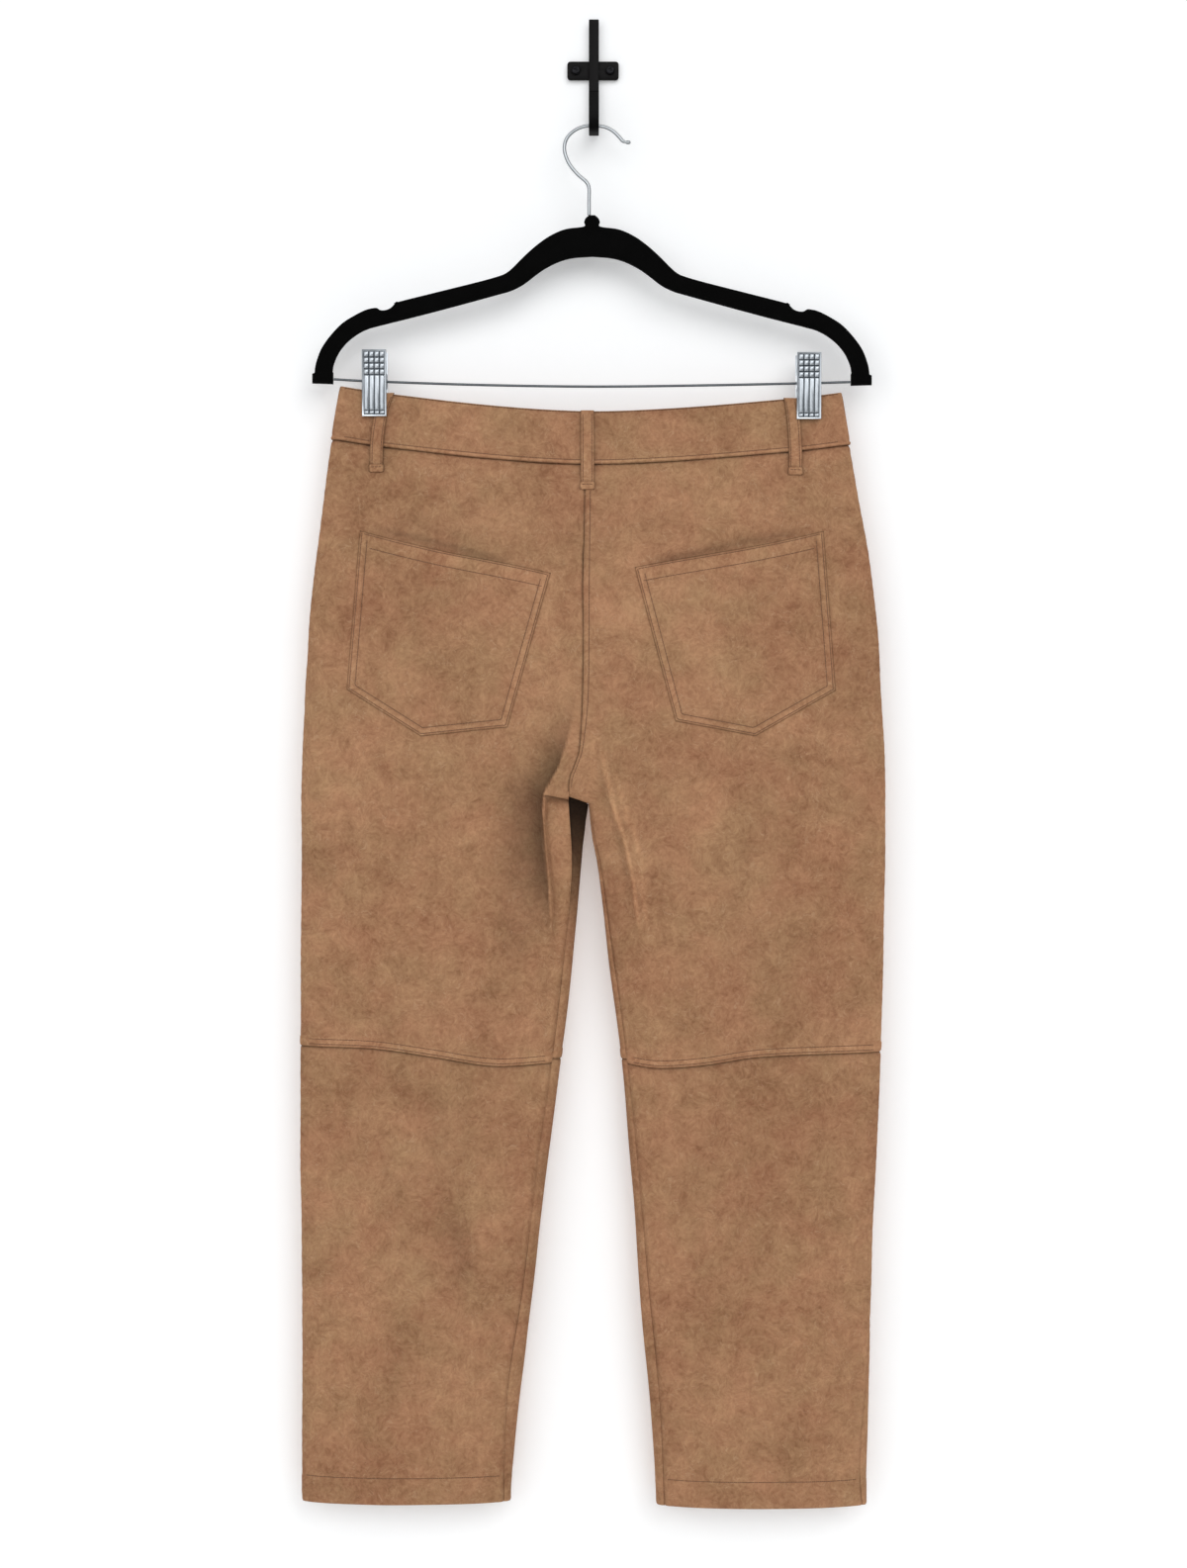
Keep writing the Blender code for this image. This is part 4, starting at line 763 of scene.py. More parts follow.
def waistband(look):
    """The waistband: one strip all round, lapped at the front."""
    height = 43.0
    middle_steps = np.linspace(6.0, height - 6.0, 12)
    shares = np.concatenate([EDGE_STEPS, middle_steps, height - EDGE_STEPS[::-1]]) / height
    end = float(valley_angle(BAND_TOP_SIDE[LEFT]))
    quarter = end * np.linspace(0, 1, 64)
    spans = ((RIGHT, -quarter[::-1], "front"), (RIGHT, quarter[1:], "back"), (LEFT, quarter[-2::-1], "back"),
             (LEFT, -quarter[1:], "front"))  # fmt: skip
    rows = []
    for share in shares:
        points, normals = [], []
        for half, angles, face in spans:
            p, n = band_point(half, angles, share, face)
            middle = abs(abs(angles) - end) < 0.01
            n[middle, 0] = 0.0
            points.append(p)
            normals.append(n / np.linalg.norm(n, axis=-1, keepdims=True))
        points, normals = np.concatenate(points), np.concatenate(normals)
        points = points + normals * BAND_PROUD
        lap_x = points[0, 0] - UNDERLAP * np.linspace(1.0, 0.08, 14)
        lap_drop = band_top("front", lap_x) * (1 - share) + (band_bottom("front", lap_x) - HALF_GAP) * share
        lap_angle = -angle_at(LEFT, lap_drop, lap_x)
        lap = skin(LEFT, lap_drop, lap_angle, BAND_WALL)
        lap_normal = skin_normal(LEFT, lap_drop, lap_angle, BAND_WALL)
        lap = lap + lap_normal * (BAND_PROUD - BAND_WALL - SEAM_GAP)
        points[0] += normals[0] * -(BAND_WALL + SEAM_GAP) * 0.5 + np.array([3.0, 0, 0])
        points[-1] -= np.array([SEAM_GAP, 0, 0])
        rows.append((np.concatenate([lap, points]), np.concatenate([lap_normal, normals])))
    points, normals = (np.stack(part) for part in zip(*rows))
    down = (shares * height)[:, None]
    up = height - down
    x = points[..., 0]
    on_back = points[..., 1] < HANG_Y
    face_wave = np.where(on_back, waviness(x, down * 1.7, False), waviness(x, down * 1.7, True))
    lift = 0.35 * face_wave * (1 - pinch(x, -points[..., 2]))
    lift += roll(down, 0.6, 1.0) + dent(down, 2.2, 0.28) + pucker(x, down, 7.0, 0.10)
    lift += 0.42 * np.exp(-(((up - 1.4) / 1.1) ** 2)) + roll(up, 0.7, 0.7) + dent(up, BAND_STITCH, 0.32)
    lift += pucker(x, up - BAND_STITCH, 6.5, 0.12, 4.0)
    lift[:, :15] *= 0.2
    # Painted highlight along the raised top edge, painted shade in a line right at the top edge and along the
    # foot seam, and painted shadow beside the belt loops.
    painted_light = 0.16 * np.exp(-(((up - 1.4) / 1.2) ** 2)) - 0.14 * np.exp(-((down / 1.6) ** 2))
    painted_light = painted_light - 0.25 * np.exp(-((up / 0.5) ** 2)) + loop_shadow(x, -points[..., 2], on_back)
    made = wall_object("cloth_waistband", points, normals, lift, BAND_WALL, look, painted_light)
    return settle(made, "suede", "waistband")


def on_panel(face, x, drop, wall=CLOTH_WALL):
    """Points and normals of the torso's outer face, with its creases, at this x and drop."""
    middle = section(drop)["left_in"]
    side = np.where(x < middle, LEFT, RIGHT)
    angle = angle_at(side, drop, x) * (1 if face == "back" else -1)
    points, normals = skin(side, drop, angle, wall), skin_normal(side, drop, angle, wall)
    return points + normals * relief(x, drop, face)[..., None], normals


def line_distance(x, drop, a, b, inside):
    """Distance from the line through a and b, counted towards the inside point."""
    normal = np.array([-(b[1] - a[1]), b[0] - a[0]])
    normal = normal / np.linalg.norm(normal)
    if (inside[0] - a[0]) * normal[0] + (inside[1] - a[1]) * normal[1] < 0:
        normal = -normal
    return (x - a[0]) * normal[0] + (drop - a[1]) * normal[1]


def top_curve(s):
    return 3.0 * np.sin(math.pi * s) * (1 - s)


def spaced(length, step):
    """Places from 0 to 1, closer at both ends."""
    middle = np.linspace(EDGE_STEPS[-1], length - EDGE_STEPS[-1], int(length / step))[1:-1]
    return np.concatenate([EDGE_STEPS, middle, length - EDGE_STEPS[::-1]]) / length


def pocket(name, corners, look):
    """A patch with turned edges: two rows of stitches round it and a wide hem along its mouth."""
    top_outer, top_inner, low_inner, point, low_outer = (np.array(c) for c in corners)
    at_point = abs(point[0] - low_outer[0]) / abs(low_inner[0] - low_outer[0])
    s = spaced(abs(top_inner[0] - top_outer[0]), 2.6)[None, :]
    s = np.unique(np.append(s, at_point))[None, :]
    r = spaced(126.0, 2.8)[:, None]
    top = top_outer[:, None] * (1 - s) + top_inner[:, None] * s
    top[1] += top_curve(s[0])
    before = s[0] <= at_point
    t = np.where(before, s[0] / at_point, (s[0] - at_point) / (1 - at_point))
    foot = np.where(
        before,
        low_outer[:, None] * (1 - t) + point[:, None] * t,
        point[:, None] * (1 - t) + low_inner[:, None] * t,
    )
    x = top[0][None] * (1 - r) + foot[0][None] * r
    drop = top[1][None] * (1 - r) + foot[1][None] * r
    points, normals = on_panel("back", x, drop)
    centre = (np.mean([c[0] for c in corners]), np.mean([c[1] for c in corners]))
    sides = [
        line_distance(x, drop, a, b, centre)
        for a, b in ((top_inner, low_inner), (low_inner, point), (point, low_outer), (low_outer, top_outer))
    ]
    edge = np.min(sides, axis=0)
    mouth = drop - np.interp(x, np.sort(top[0]), top[1][np.argsort(top[0])])
    lift = PATCH_GAP + CLOTH_WALL + roll(edge, 0.85, 0.9) + roll(mouth, 0.5, 0.9)
    lift += dent(edge, POCKET_STITCHES[0], 0.16, 0.6) + dent(edge, POCKET_STITCHES[1], 0.34, 0.9)
    lift += dent(mouth, MOUTH_STITCHES[0], 0.16, 0.6)
    lift += dent(mouth, MOUTH_STITCHES[1], 0.34, 0.9) * smooth((edge - 5) / 3)
    lift += 0.7 * smooth(edge / 40.0) + 0.8 * smooth(edge / 30.0) * np.exp(-((mouth / 16.0) ** 2))
    lift += pucker(drop + x, edge - 6.4, 8.0, 0.10, 3.0)
    # Painted highlight on the raised border and below the mouth; painted shadow in a thin line round the
    # edge, along the inner row of stitches and in the mouth; and the back's strokes of painted shade and
    # highlight.
    painted_light = 0.10 * np.exp(-(((edge - 3.6) / 2.4) ** 2)) + strokes(x, drop, PAINTED_LIGHT_STROKES)
    painted_light += 0.06 * np.exp(-(((mouth - 6) / 5.0) ** 2)) - 0.50 * np.exp(-((edge / 0.6) ** 2))
    painted_light -= 0.12 * np.exp(-(((edge - 6.4) / 0.9) ** 2)) + 0.60 * np.exp(-((mouth / 0.7) ** 2))
    made = wall_object(f"cloth_pocket_{name}", points, normals, lift, CLOTH_WALL, look, painted_light)
    return settle(made, "suede", f"back_pocket_{name}")


def belt_loop(name, look):
    """A strip over the band, its foot folded up into a small tab with round corners."""
    face, top_x, foot_x, foot = BELT_LOOPS[name]
    top = float(band_top(face, top_x)) - 0.2
    length = foot - top
    at_tab = 1 - np.linspace(TAB_HEIGHT - 1.2, TAB_HEIGHT + 1.2, 5) / length
    t = np.unique(np.append(spaced(length, 1.6), at_tab))[:, None]
    across = spaced(LOOP_WIDTH, 1.0)[None, :] - 0.5
    middle, drop = loop_middle(top_x, foot_x, 1 - t), top + length * t
    above = length * (1 - t)
    tab = smooth((TAB_HEIGHT + 0.5 - above) / 0.9)
    corner = np.sqrt(np.clip(1 - np.clip(1 - above / 2.2, 0, 1) ** 2, 0, 1))
    width = LOOP_WIDTH + 1.3 * tab - 1.6 * (1 - corner)
    x, drop = middle + across * width, drop + 0 * across
    points, normals = on_panel(face, x, drop)
    on_band = smooth((band_bottom(face, x) + 11.0 - drop) / 6.0)
    rise = on_band * (BAND_WALL - CLOTH_WALL + BAND_PROUD) + LOOP_LIFT * np.sin(math.pi * t)
    edge = (0.5 - abs(across)) * LOOP_WIDTH
    lift = rise + PATCH_GAP + LOOP_WALL + roll(edge, 0.55, 0.8) + dent(edge, LOOP_STITCH, 0.22, 0.6)
    lift += 0.65 * tab + roll(above, 0.5, 0.9) + roll(length * t, 0.4, 0.9)
    lift += 0.10 * np.sin(drop / 4.1 + top_x) * (1 - tab)
    # Painted highlight inside the edges and on the tab; painted shadow along the edges and at the tab's fold.
    painted_light = 0.07 * smooth((edge - 0.6) / 1.0) + 0.05 * tab - 0.42 * np.exp(-((edge / 0.6) ** 2))
    painted_light -= 0.25 * np.exp(-(((above - TAB_HEIGHT - 0.6) / 0.8) ** 2))
    made = wall_object(f"cloth_belt_loop_{name}", points, normals, lift, LOOP_WALL, look, painted_light)
    return settle(made, "suede", f"belt_loop_{name}")


def fly_flap(look):
    """The flap over the front seam, with a round lower corner."""
    s = spaced(FLY_WIDTH, 1.6)[None, :]
    r = spaced(140.0, 3.0)[:, None]
    x = float(section(np.float64(400.0))["left_in"]) + FLY_LAP - FLY_WIDTH * s
    top = band_bottom("front", x) + 0.6
    drop = top + (FLY_FOOT - 42.0 * s**3 - top) * r
    x = x + 0 * r
    points, normals = on_panel("front", x, drop)
    near, far = s * FLY_WIDTH, (1 - s) * FLY_WIDTH
    low = (1 - r) * 140.0
    edge = np.minimum(np.minimum(near, far), low)
    lift = PATCH_GAP + CLOTH_WALL + roll(edge, 0.6, 0.9) + dent(near, 3.0, 0.2)
    lift += dent(np.minimum(far, low), 5.0, 0.3)
    lift += 0.15 * np.sin(drop / 17.0) * smooth(edge / 8.0)
    # Painted highlight along the turned edges.
    painted_light = 0.06 * np.exp(-(((edge - 3) / 2.0) ** 2))
    made = wall_object("cloth_fly_flap", points, normals, lift, CLOTH_WALL, look, painted_light)
    return settle(made, "suede", "fly_flap")


# ---------------------------------------------------------------- stitches


def tree_of(piece):
    """A search tree of a piece's surface."""
    mesh = piece.data
    return BVHTree.FromPolygons([v.co for v in mesh.vertices], [p.vertices for p in mesh.polygons])


def evenly(line, pitch):
    """Places every `pitch` along a line of (x, drop)."""
    line = np.array(line, float)
    run = np.concatenate([[0.0], np.cumsum(np.hypot(*np.diff(line, axis=0).T))])
    count = max(2, int(run[-1] / pitch))
    where = (np.arange(count) + 0.5) * run[-1] / count
    return np.stack([np.interp(where, run, line[:, k]) for k in (0, 1)], -1)


def stitch_form():
    """One stitch: a short rounded bar along X, lying on z = 0, in shares of the pitch. Its ends dip into
    their needle holes, where painted shade darkens them."""
    sides, rings = 6, ((-0.48, 0.0), (-0.38, 0.75), (-0.16, 1.0), (0.16, 1.0), (0.38, 0.75), (0.48, 0.0))
    verts, faces = [], []
    for along, size in rings[1:-1]:
        for k in range(sides):
            turn = math.tau * k / sides
            verts.append((along, 0.33 * size * math.cos(turn), 0.30 * size * math.sin(turn)))
    for ring in range(3):
        for k in range(sides):
            a, b = ring * sides + k, ring * sides + (k + 1) % sides
            faces.append((a, b, b + sides, a + sides))
    verts += [(rings[0][0], 0, 0), (rings[-1][0], 0, 0)]
    for k in range(sides):
        faces.append((4 * sides, (k + 1) % sides, k))
        faces.append((4 * sides + 1, 3 * sides + k, 3 * sides + (k + 1) % sides))
    # Painted shade at the ends.
    painted_light = [STITCH_END_SHADE if abs(v[0]) > 0.3 else 0.0 for v in verts]
    return np.array(verts), faces, painted_light


def stitches(name, lines, look, pitch=STITCH_PITCH, sink=0.12):
    """Rows of thread laid on cloth pieces. Each line is (trees, face, points of (x, drop))."""
    form, form_faces, form_painted_light = stitch_form()
    form = form * np.array([pitch, 1.0, 1.0])
    verts, faces = [], []
    for trees, face, line in lines:
        toward = 1.0 if face == "back" else -1.0
        hits = []
        for x, drop in evenly(line, pitch):
            start = Vector((x * MM, HANG_Y * MM - toward * 0.08, -drop * MM))
            found = [tree.ray_cast(start, Vector((0, toward, 0)), 0.2) for tree in trees]
            found = [hit for hit in found if hit[0] is not None]
            if found:
                place, normal = min(found, key=lambda hit: hit[3])[:2]
                hits.append((np.array(place) / MM, np.array(normal)))
        for i, (place, normal) in enumerate(hits):
            ahead, behind = hits[min(i + 1, len(hits) - 1)][0], hits[max(i - 1, 0)][0]
            if np.linalg.norm(ahead - behind) < 1e-6 or np.linalg.norm(ahead - behind) > 4 * pitch:
                continue
            along = ahead - behind
            along -= normal * (along @ normal)
            along /= np.linalg.norm(along)
            across = np.cross(normal, along)
            axes = np.stack([along, across, normal])
            offset = len(verts) * len(form)
            verts.append(form @ axes + place + normal * (0.18 - sink))
            faces += [tuple(k + offset for k in f) for f in form_faces]
    mesh = bpy.data.meshes.new(name)
    mesh.from_pydata((np.concatenate(verts) * MM).tolist(), [], faces)
    made = linked(name, mesh, look)
    # Each stitch carries its painted shade at the ends.
    mesh.attributes.new("painted_light", "FLOAT", "POINT").data.foreach_set("value", np.tile(form_painted_light, len(verts)))
    return settle(made, "suede")


def inset_corners(corners, distance):
    """Corners of a closed outline moved in by a distance."""
    centre = np.mean(np.array(corners), axis=0)
    lines = []
    for a, b in zip(corners, [*corners[1:], corners[0]]):
        normal = np.array([-(b[1] - a[1]), b[0] - a[0]], float)
        normal /= np.linalg.norm(normal)
        if normal @ (centre - np.array(a)) < 0:
            normal = -normal
        lines.append((normal, normal @ np.array(a) + distance))
    moved = []
    for (n0, c0), (n1, c1) in zip([lines[-1], *lines[:-1]], lines):
        moved.append(np.linalg.solve(np.array([n0, n1]), np.array([c0, c1])))
    return moved


# ---------------------------------------------------------------- materials


def linear(hexcode):
    """An sRGB hex colour as linear RGBA."""
    parts = [int(hexcode[i : i + 2], 16) / 255 for i in (0, 2, 4)]
    return (*(p / 12.92 if p <= 0.04045 else ((p + 0.055) / 1.055) ** 2.4 for p in parts), 1.0)


def add(tree, kind, inputs=(), output=0, **settings):
    """Adds a node with its settings; each input is a value or the socket that feeds it."""
    node = tree.nodes.new("ShaderNode" + kind)
    for key, value in settings.items():
        setattr(node, key, value)
    for key, value in inputs.items() if isinstance(inputs, dict) else enumerate(inputs):
        if isinstance(value, bpy.types.NodeSocket):
            tree.links.new(value, node.inputs[key])
        elif value is not None:
            node.inputs[key].default_value = value
    return node.outputs[output]


def new_material(name, **shader_values):
    made = bpy.data.materials.new(name)
    made.use_nodes = True
    shader = made.node_tree.nodes["Principled BSDF"]
    for key, value in shader_values.items():
        shader.inputs[key.replace("_", " ")].default_value = value
    return made, made.node_tree, shader


def shaded_by_painted_light(tree, colour):
    """The colour made darker by painted shade and paler by painted highlight, held in a point attribute of
    the piece.
    """
    lie = add(tree, "Attribute", attribute_name="painted_light", output="Fac")
    lie = add(tree, "Math", (lie, 1.0), operation="ADD")
    return add(tree, "MixRGB", (1.0, colour, lie), blend_type="MULTIPLY")


def faux_suede():
    """Polyester microsuede, brushed: matt, with a soft sheen at grazing angles, patches that shift
    between rosy and olive as the pile lies, and short pale squiggles where it has been rubbed."""
    made, tree, shader = new_material(
        "brushed polyester microsuede",
        Roughness=0.92,
        Specular_IOR_Level=0.12,
        Sheen_Weight=0.05,
        Sheen_Roughness=0.45,
        Sheen_Tint=linear("d9b493"),
    )
    place = add(tree, "TexCoord", output="Object")
    # The pile lies in swirls about 18 mm wide, which bend the finer patterns by up to 8 mm
    swirl = add(tree, "TexNoise", {"Vector": place, "Scale": 55.0, "Detail": 2.0}, output=1)
    swirl = add(tree, "VectorMath", (swirl, (0.5, 0.5, 0.5)), operation="SUBTRACT")
    swirl = add(tree, "VectorMath", {0: swirl, "Scale": 0.016}, operation="SCALE")
    bent = add(tree, "VectorMath", (place, swirl), operation="ADD")
    # Clouds of 70 mm, blotches of 13 mm, and flecks of 3 mm, coarser than the real pile so as to show
    clouds = add(tree, "TexNoise", {"Vector": place, "Scale": 14.0, "Detail": 3.0, "Distortion": 0.3})
    blotches = add(tree, "TexNoise", {"Vector": bent, "Scale": 75.0, "Detail": 3.0, "Roughness": 0.65})
    flecks = add(tree, "TexNoise", {"Vector": bent, "Scale": 330.0, "Detail": 3.0, "Roughness": 0.7})
    tone = add(tree, "Math", (clouds, 0.58), operation="MULTIPLY")
    tone = add(tree, "Math", (blotches, 0.68, tone), operation="MULTIPLY_ADD")
    tone = add(tree, "Math", (flecks, 0.88, tone), operation="MULTIPLY_ADD")
    tone = add(tree, "MapRange", {"Value": tone, "From Min": 0.77, "From Max": 1.37})
    colour = add(tree, "MixRGB", (tone, linear("8c6349"), linear("ba906e")))
    hue = add(tree, "TexNoise", {"Vector": place, "Scale": 24.0, "Detail": 3.0, "Roughness": 0.6})
    hue = add(tree, "MapRange", {"Value": hue, "From Min": 0.36, "From Max": 0.64})
    rosy = add(tree, "MixRGB", (hue, linear("f8fbf5"), linear("fff8f6")))
    colour = add(tree, "MixRGB", (1.0, colour, rosy), blend_type="MULTIPLY")
    # Squiggles 4 to 12 mm long: ridges and thin contour lines, broken up by another noise
    ridges = {"Vector": bent, "Scale": 95.0, "Detail": 2.0, "Roughness": 0.6, "Lacunarity": 2.3}
    ridges |= {"Distortion": 0.6, "Offset": 0.9, "Gain": 1.4}
    ridges = add(tree, "TexNoise", ridges, noise_type="RIDGED_MULTIFRACTAL", normalize=False)
    ridges = add(tree, "MapRange", {"Value": ridges, "From Min": 1.75, "From Max": 2.5})
    contour = add(tree, "TexNoise", {"Vector": bent, "Scale": 150.0, "Detail": 1.0, "Distortion": 0.8})
    contour = add(tree, "Math", (contour, 0.5), operation="SUBTRACT")
    contour = add(tree, "Math", (contour,), operation="ABSOLUTE")
    contour = add(tree, "MapRange", {"Value": contour, "From Max": 0.026, "To Min": 1.0, "To Max": 0.0})
    broken = add(tree, "TexNoise", {"Vector": place, "Scale": 120.0, "Detail": 1.0})
    broken = add(tree, "MapRange", {"Value": broken, "From Min": 0.48, "From Max": 0.60})
    squiggle = add(tree, "Math", (contour, broken), operation="MULTIPLY")
    line = add(tree, "Math", (squiggle, 0.75, ridges), operation="MULTIPLY_ADD")
    faint = add(tree, "Math", (line, 0.42), operation="MULTIPLY")
    colour = add(tree, "MixRGB", (faint, colour, linear("c9a684")))
    # The piece's painted shade and highlight darken or lighten this colour.
    tree.links.new(shaded_by_painted_light(tree, colour), shader.inputs["Base Color"])
    height = add(tree, "Math", (flecks, 0.6), operation="MULTIPLY")
    height = add(tree, "Math", (line, 0.3, height), operation="MULTIPLY_ADD")
    bump = add(tree, "Bump", {"Strength": 0.5, "Distance": 0.0009, "Height": height})
    tree.links.new(bump, shader.inputs["Normal"])
    return made


def sewing_thread(name, dark, pale):
    """Spun polyester thread between two shades, uneven by its fibres."""
    made, tree, shader = new_material(name, Roughness=0.7, Specular_IOR_Level=0.2)
    place = add(tree, "TexCoord", output="Object")
    fibre = add(tree, "TexNoise", {"Vector": place, "Scale": 1600.0, "Detail": 2.0})
    colour = add(tree, "MixRGB", (fibre, linear(dark), linear(pale)))
    # The painted shade at each stitch's ends darkens this colour.
    tree.links.new(shaded_by_painted_light(tree, colour), shader.inputs["Base Color"])
    bump = add(tree, "Bump", {"Strength": 0.3, "Distance": 0.0001, "Height": fibre})
    tree.links.new(bump, shader.inputs["Normal"])
    return made


def black_flock():
    """Nylon flock on moulded plastic: near black, no gloss, a faint bloom at its edges."""
    made, tree, shader = new_material(
        "nylon flock on plastic",
        Roughness=0.95,
        Specular_IOR_Level=0.08,
        Sheen_Weight=0.03,
        Sheen_Roughness=0.4,
    )
    place = add(tree, "TexCoord", output="Object")
    fuzz = add(tree, "TexNoise", {"Vector": place, "Scale": 1500.0, "Detail": 3.0})  # 0.7 mm tufts
    patches = add(tree, "TexNoise", {"Vector": place, "Scale": 60.0, "Detail": 2.0})
    mixed = add(tree, "Math", (fuzz, patches), operation="MULTIPLY")
    colour = add(tree, "MixRGB", (mixed, linear("010101"), linear("0a0a0a")))
    tree.links.new(colour, shader.inputs["Base Color"])
    bump = add(tree, "Bump", {"Strength": 0.4, "Distance": 0.0003, "Height": fuzz})
    tree.links.new(bump, shader.inputs["Normal"])
    return made


def zinc_plate(name, dull, bright, smoothest=0.24):
    """Zinc plate over stamped or drawn steel: cool grey, soft reflections, faint tool lines."""
    made, tree, shader = new_material(name, Metallic=1.0)
    place = add(tree, "TexCoord", output="Object")
    stretched = add(tree, "Mapping", {"Vector": place, "Scale": (1.0, 1.0, 0.12)})
    lines = add(tree, "TexNoise", {"Vector": stretched, "Scale": 2400.0, "Detail": 2.0})
    cloudy = add(tree, "TexNoise", {"Vector": place, "Scale": 240.0, "Detail": 3.0})
    colour = add(tree, "MixRGB", (cloudy, linear(dull), linear(bright)))
    tree.links.new(colour, shader.inputs["Base Color"])
    rough = add(tree, "MapRange", {"Value": cloudy, "To Min": smoothest, "To Max": smoothest + 0.2})
    tree.links.new(rough, shader.inputs["Roughness"])
    bump = add(tree, "Bump", {"Strength": 0.12, "Distance": 0.0001, "Height": lines})
    tree.links.new(bump, shader.inputs["Normal"])
    return made


def black_iron():
    """Flat bar with black powder coat: satin, a fine orange peel, and greyer towards the wall in dusty
    patches; the change with depth is painted light and shade, near black nearest the viewer."""
    made, tree, shader = new_material("powder coated steel", Specular_IOR_Level=0.1)
    place = add(tree, "TexCoord", output="Object")
    peel = add(tree, "TexNoise", {"Vector": place, "Scale": 900.0, "Detail": 2.0})  # 1.1 mm peel
    dust = add(tree, "TexNoise", {"Vector": place, "Scale": 130.0, "Detail": 4.0})
    # Painted light and shade by depth, broken up by dust: near black nearest the viewer, greyer towards the
    # wall.
    depth = add(tree, "SeparateXYZ", (place,), output=1)
    dust_and_painted_light = add(tree, "MapRange", {"Value": depth, "From Min": -0.030, "From Max": -0.012})
    dust_and_painted_light = add(tree, "Math", (dust_and_painted_light, dust), operation="MULTIPLY")
    colour = add(tree, "MixRGB", (dust_and_painted_light, linear("020202"), linear("191718")))
    tree.links.new(colour, shader.inputs["Base Color"])
    rough = add(tree, "MapRange", {"Value": dust, "To Min": 0.42, "To Max": 0.62})
    tree.links.new(rough, shader.inputs["Roughness"])
    bump = add(tree, "Bump", {"Strength": 0.18, "Distance": 0.0002, "Height": peel})
    tree.links.new(bump, shader.inputs["Normal"])
    return made


def black_oxide():
    """Oil-blacked screw steel: almost black, with a small clear glint."""
    made, tree, shader = new_material("black oxide on steel", Metallic=1.0)
    place = add(tree, "TexCoord", output="Object")
    stain = add(tree, "TexNoise", {"Vector": place, "Scale": 600.0, "Detail": 2.0})
    colour = add(tree, "MixRGB", (stain, linear("0a0a0b"), linear("2c2c2f")))
    tree.links.new(colour, shader.inputs["Base Color"])
    rough = add(tree, "MapRange", {"Value": stain, "To Min": 0.25, "To Max": 0.45})
    tree.links.new(rough, shader.inputs["Roughness"])
    return made


def aged_brass():
    """Cast jeans button in dull brass, tarnished brown in patches."""
    made, tree, shader = new_material("dull cast brass", Metallic=1.0, Roughness=0.42)
    place = add(tree, "TexCoord", output="Object")
    tarnish = add(tree, "TexNoise", {"Vector": place, "Scale": 700.0, "Detail": 3.0})
    colour = add(tree, "MixRGB", (tarnish, linear("5e4a33"), linear("a98f66")))
    tree.links.new(colour, shader.inputs["Base Color"])
    bump = add(tree, "Bump", {"Strength": 0.2, "Distance": 0.0001, "Height": tarnish})
    tree.links.new(bump, shader.inputs["Normal"])
    return made


# ---------------------------------------------------------------- hard pieces

HANGER_X, HANGER_THICK, HANGER_LEAN = -0.8, 5.5, 0.003
NECK = ((2.4, 121.5), (5.2, 124.0), (6.3, 127.0), (6.6, 130.6))
ARM_TOP = (
    (21.4, 132.7), (34.3, 138.4), (45.5, 146.5), (55.2, 155.3), (62.4, 162.6), (68.1, 167.4),
    (74.6, 170.2), (90.6, 174.7), (122.8, 182.7), (155.1, 190.8), (157.5, 192.4), (160.8, 195.6),
    (164.8, 197.2), (168.8, 197.2), (171.5, 195.6), (174.4, 195.6), (180.9, 197.2), (190.6, 202.1),
    (200.2, 208.5), (209.8, 218.9), (216.3, 228.7), (220.3, 239.9), (221.4, 247.2),
)  # fmt: skip
ARM_CAP = ((223.2, 248.0), (223.2, 255.6), (206.4, 256.2), (206.4, 247.2))
ARM_UNDER = (
    (207.0, 246.0), (205.8, 239.9), (201.8, 231.0), (195.4, 223.0), (187.3, 216.6), (179.3, 212.5),
    (171.2, 210.1), (139.0, 202.0), (106.7, 193.5), (74.6, 184.7), (64.9, 181.9), (55.2, 177.1),
    (45.5, 169.8), (37.5, 164.2), (26.2, 158.6), (14.9, 155.6), (0.0, 154.5),
)  # fmt: skip
WIRE_ROUTE = (
    (-3.2, 121.2), (-3.2, 108.0), (-3.2, 100.0), (-5.4, 94.8), (-12.6, 88.4), (-19.4, 79.6), (-22.8, 69.6),
    (-21.4, 60.8), (-15.6, 54.4), (-8.0, 50.8), (0.7, 50.0), (9.0, 50.9), (15.6, 54.0), (20.6, 58.6),
    (24.4, 62.6), (30.0, 63.4),
)  # fmt: skip
BAR_ROUTE = (
    (-206.9, 252.3), (-174.0, 254.0), (-90.0, 256.8), (0.0, 258.1), (90.0, 257.1), (171.8, 255.4),
    (205.3, 254.5),
)  # fmt: skip
SPRING_LENGTH = 11.0
JAW_LEAN, JAW_BEND = 3.6, 31.6  # a jaw leans out above this distance from its top
JAW_PAD = 0.85  # a jaw's inner face stands this far off the cloth
JAW_THICK = 1.0
FACE_SINK = 0.06  # a clip face sinks this far into its jaw
FACE_SHARE = 0.999  # of the jaw's width, so that no two sides lie in one plane
SCREW_X = 13.9


def deselect():
    for each in bpy.context.view_layer.objects:
        each.select_set(False)


def activate(piece):
    deselect()
    piece.select_set(True)
    bpy.context.view_layer.objects.active = piece


def named(name, look):
    """The primitive just added, with its name, material and place applied."""
    made = bpy.context.active_object
    made.name = name
    made.data.name = name
    made.data.materials.clear()
    made.data.materials.append(look)
    bpy.ops.object.transform_apply(location=True, rotation=True, scale=True)
    return made


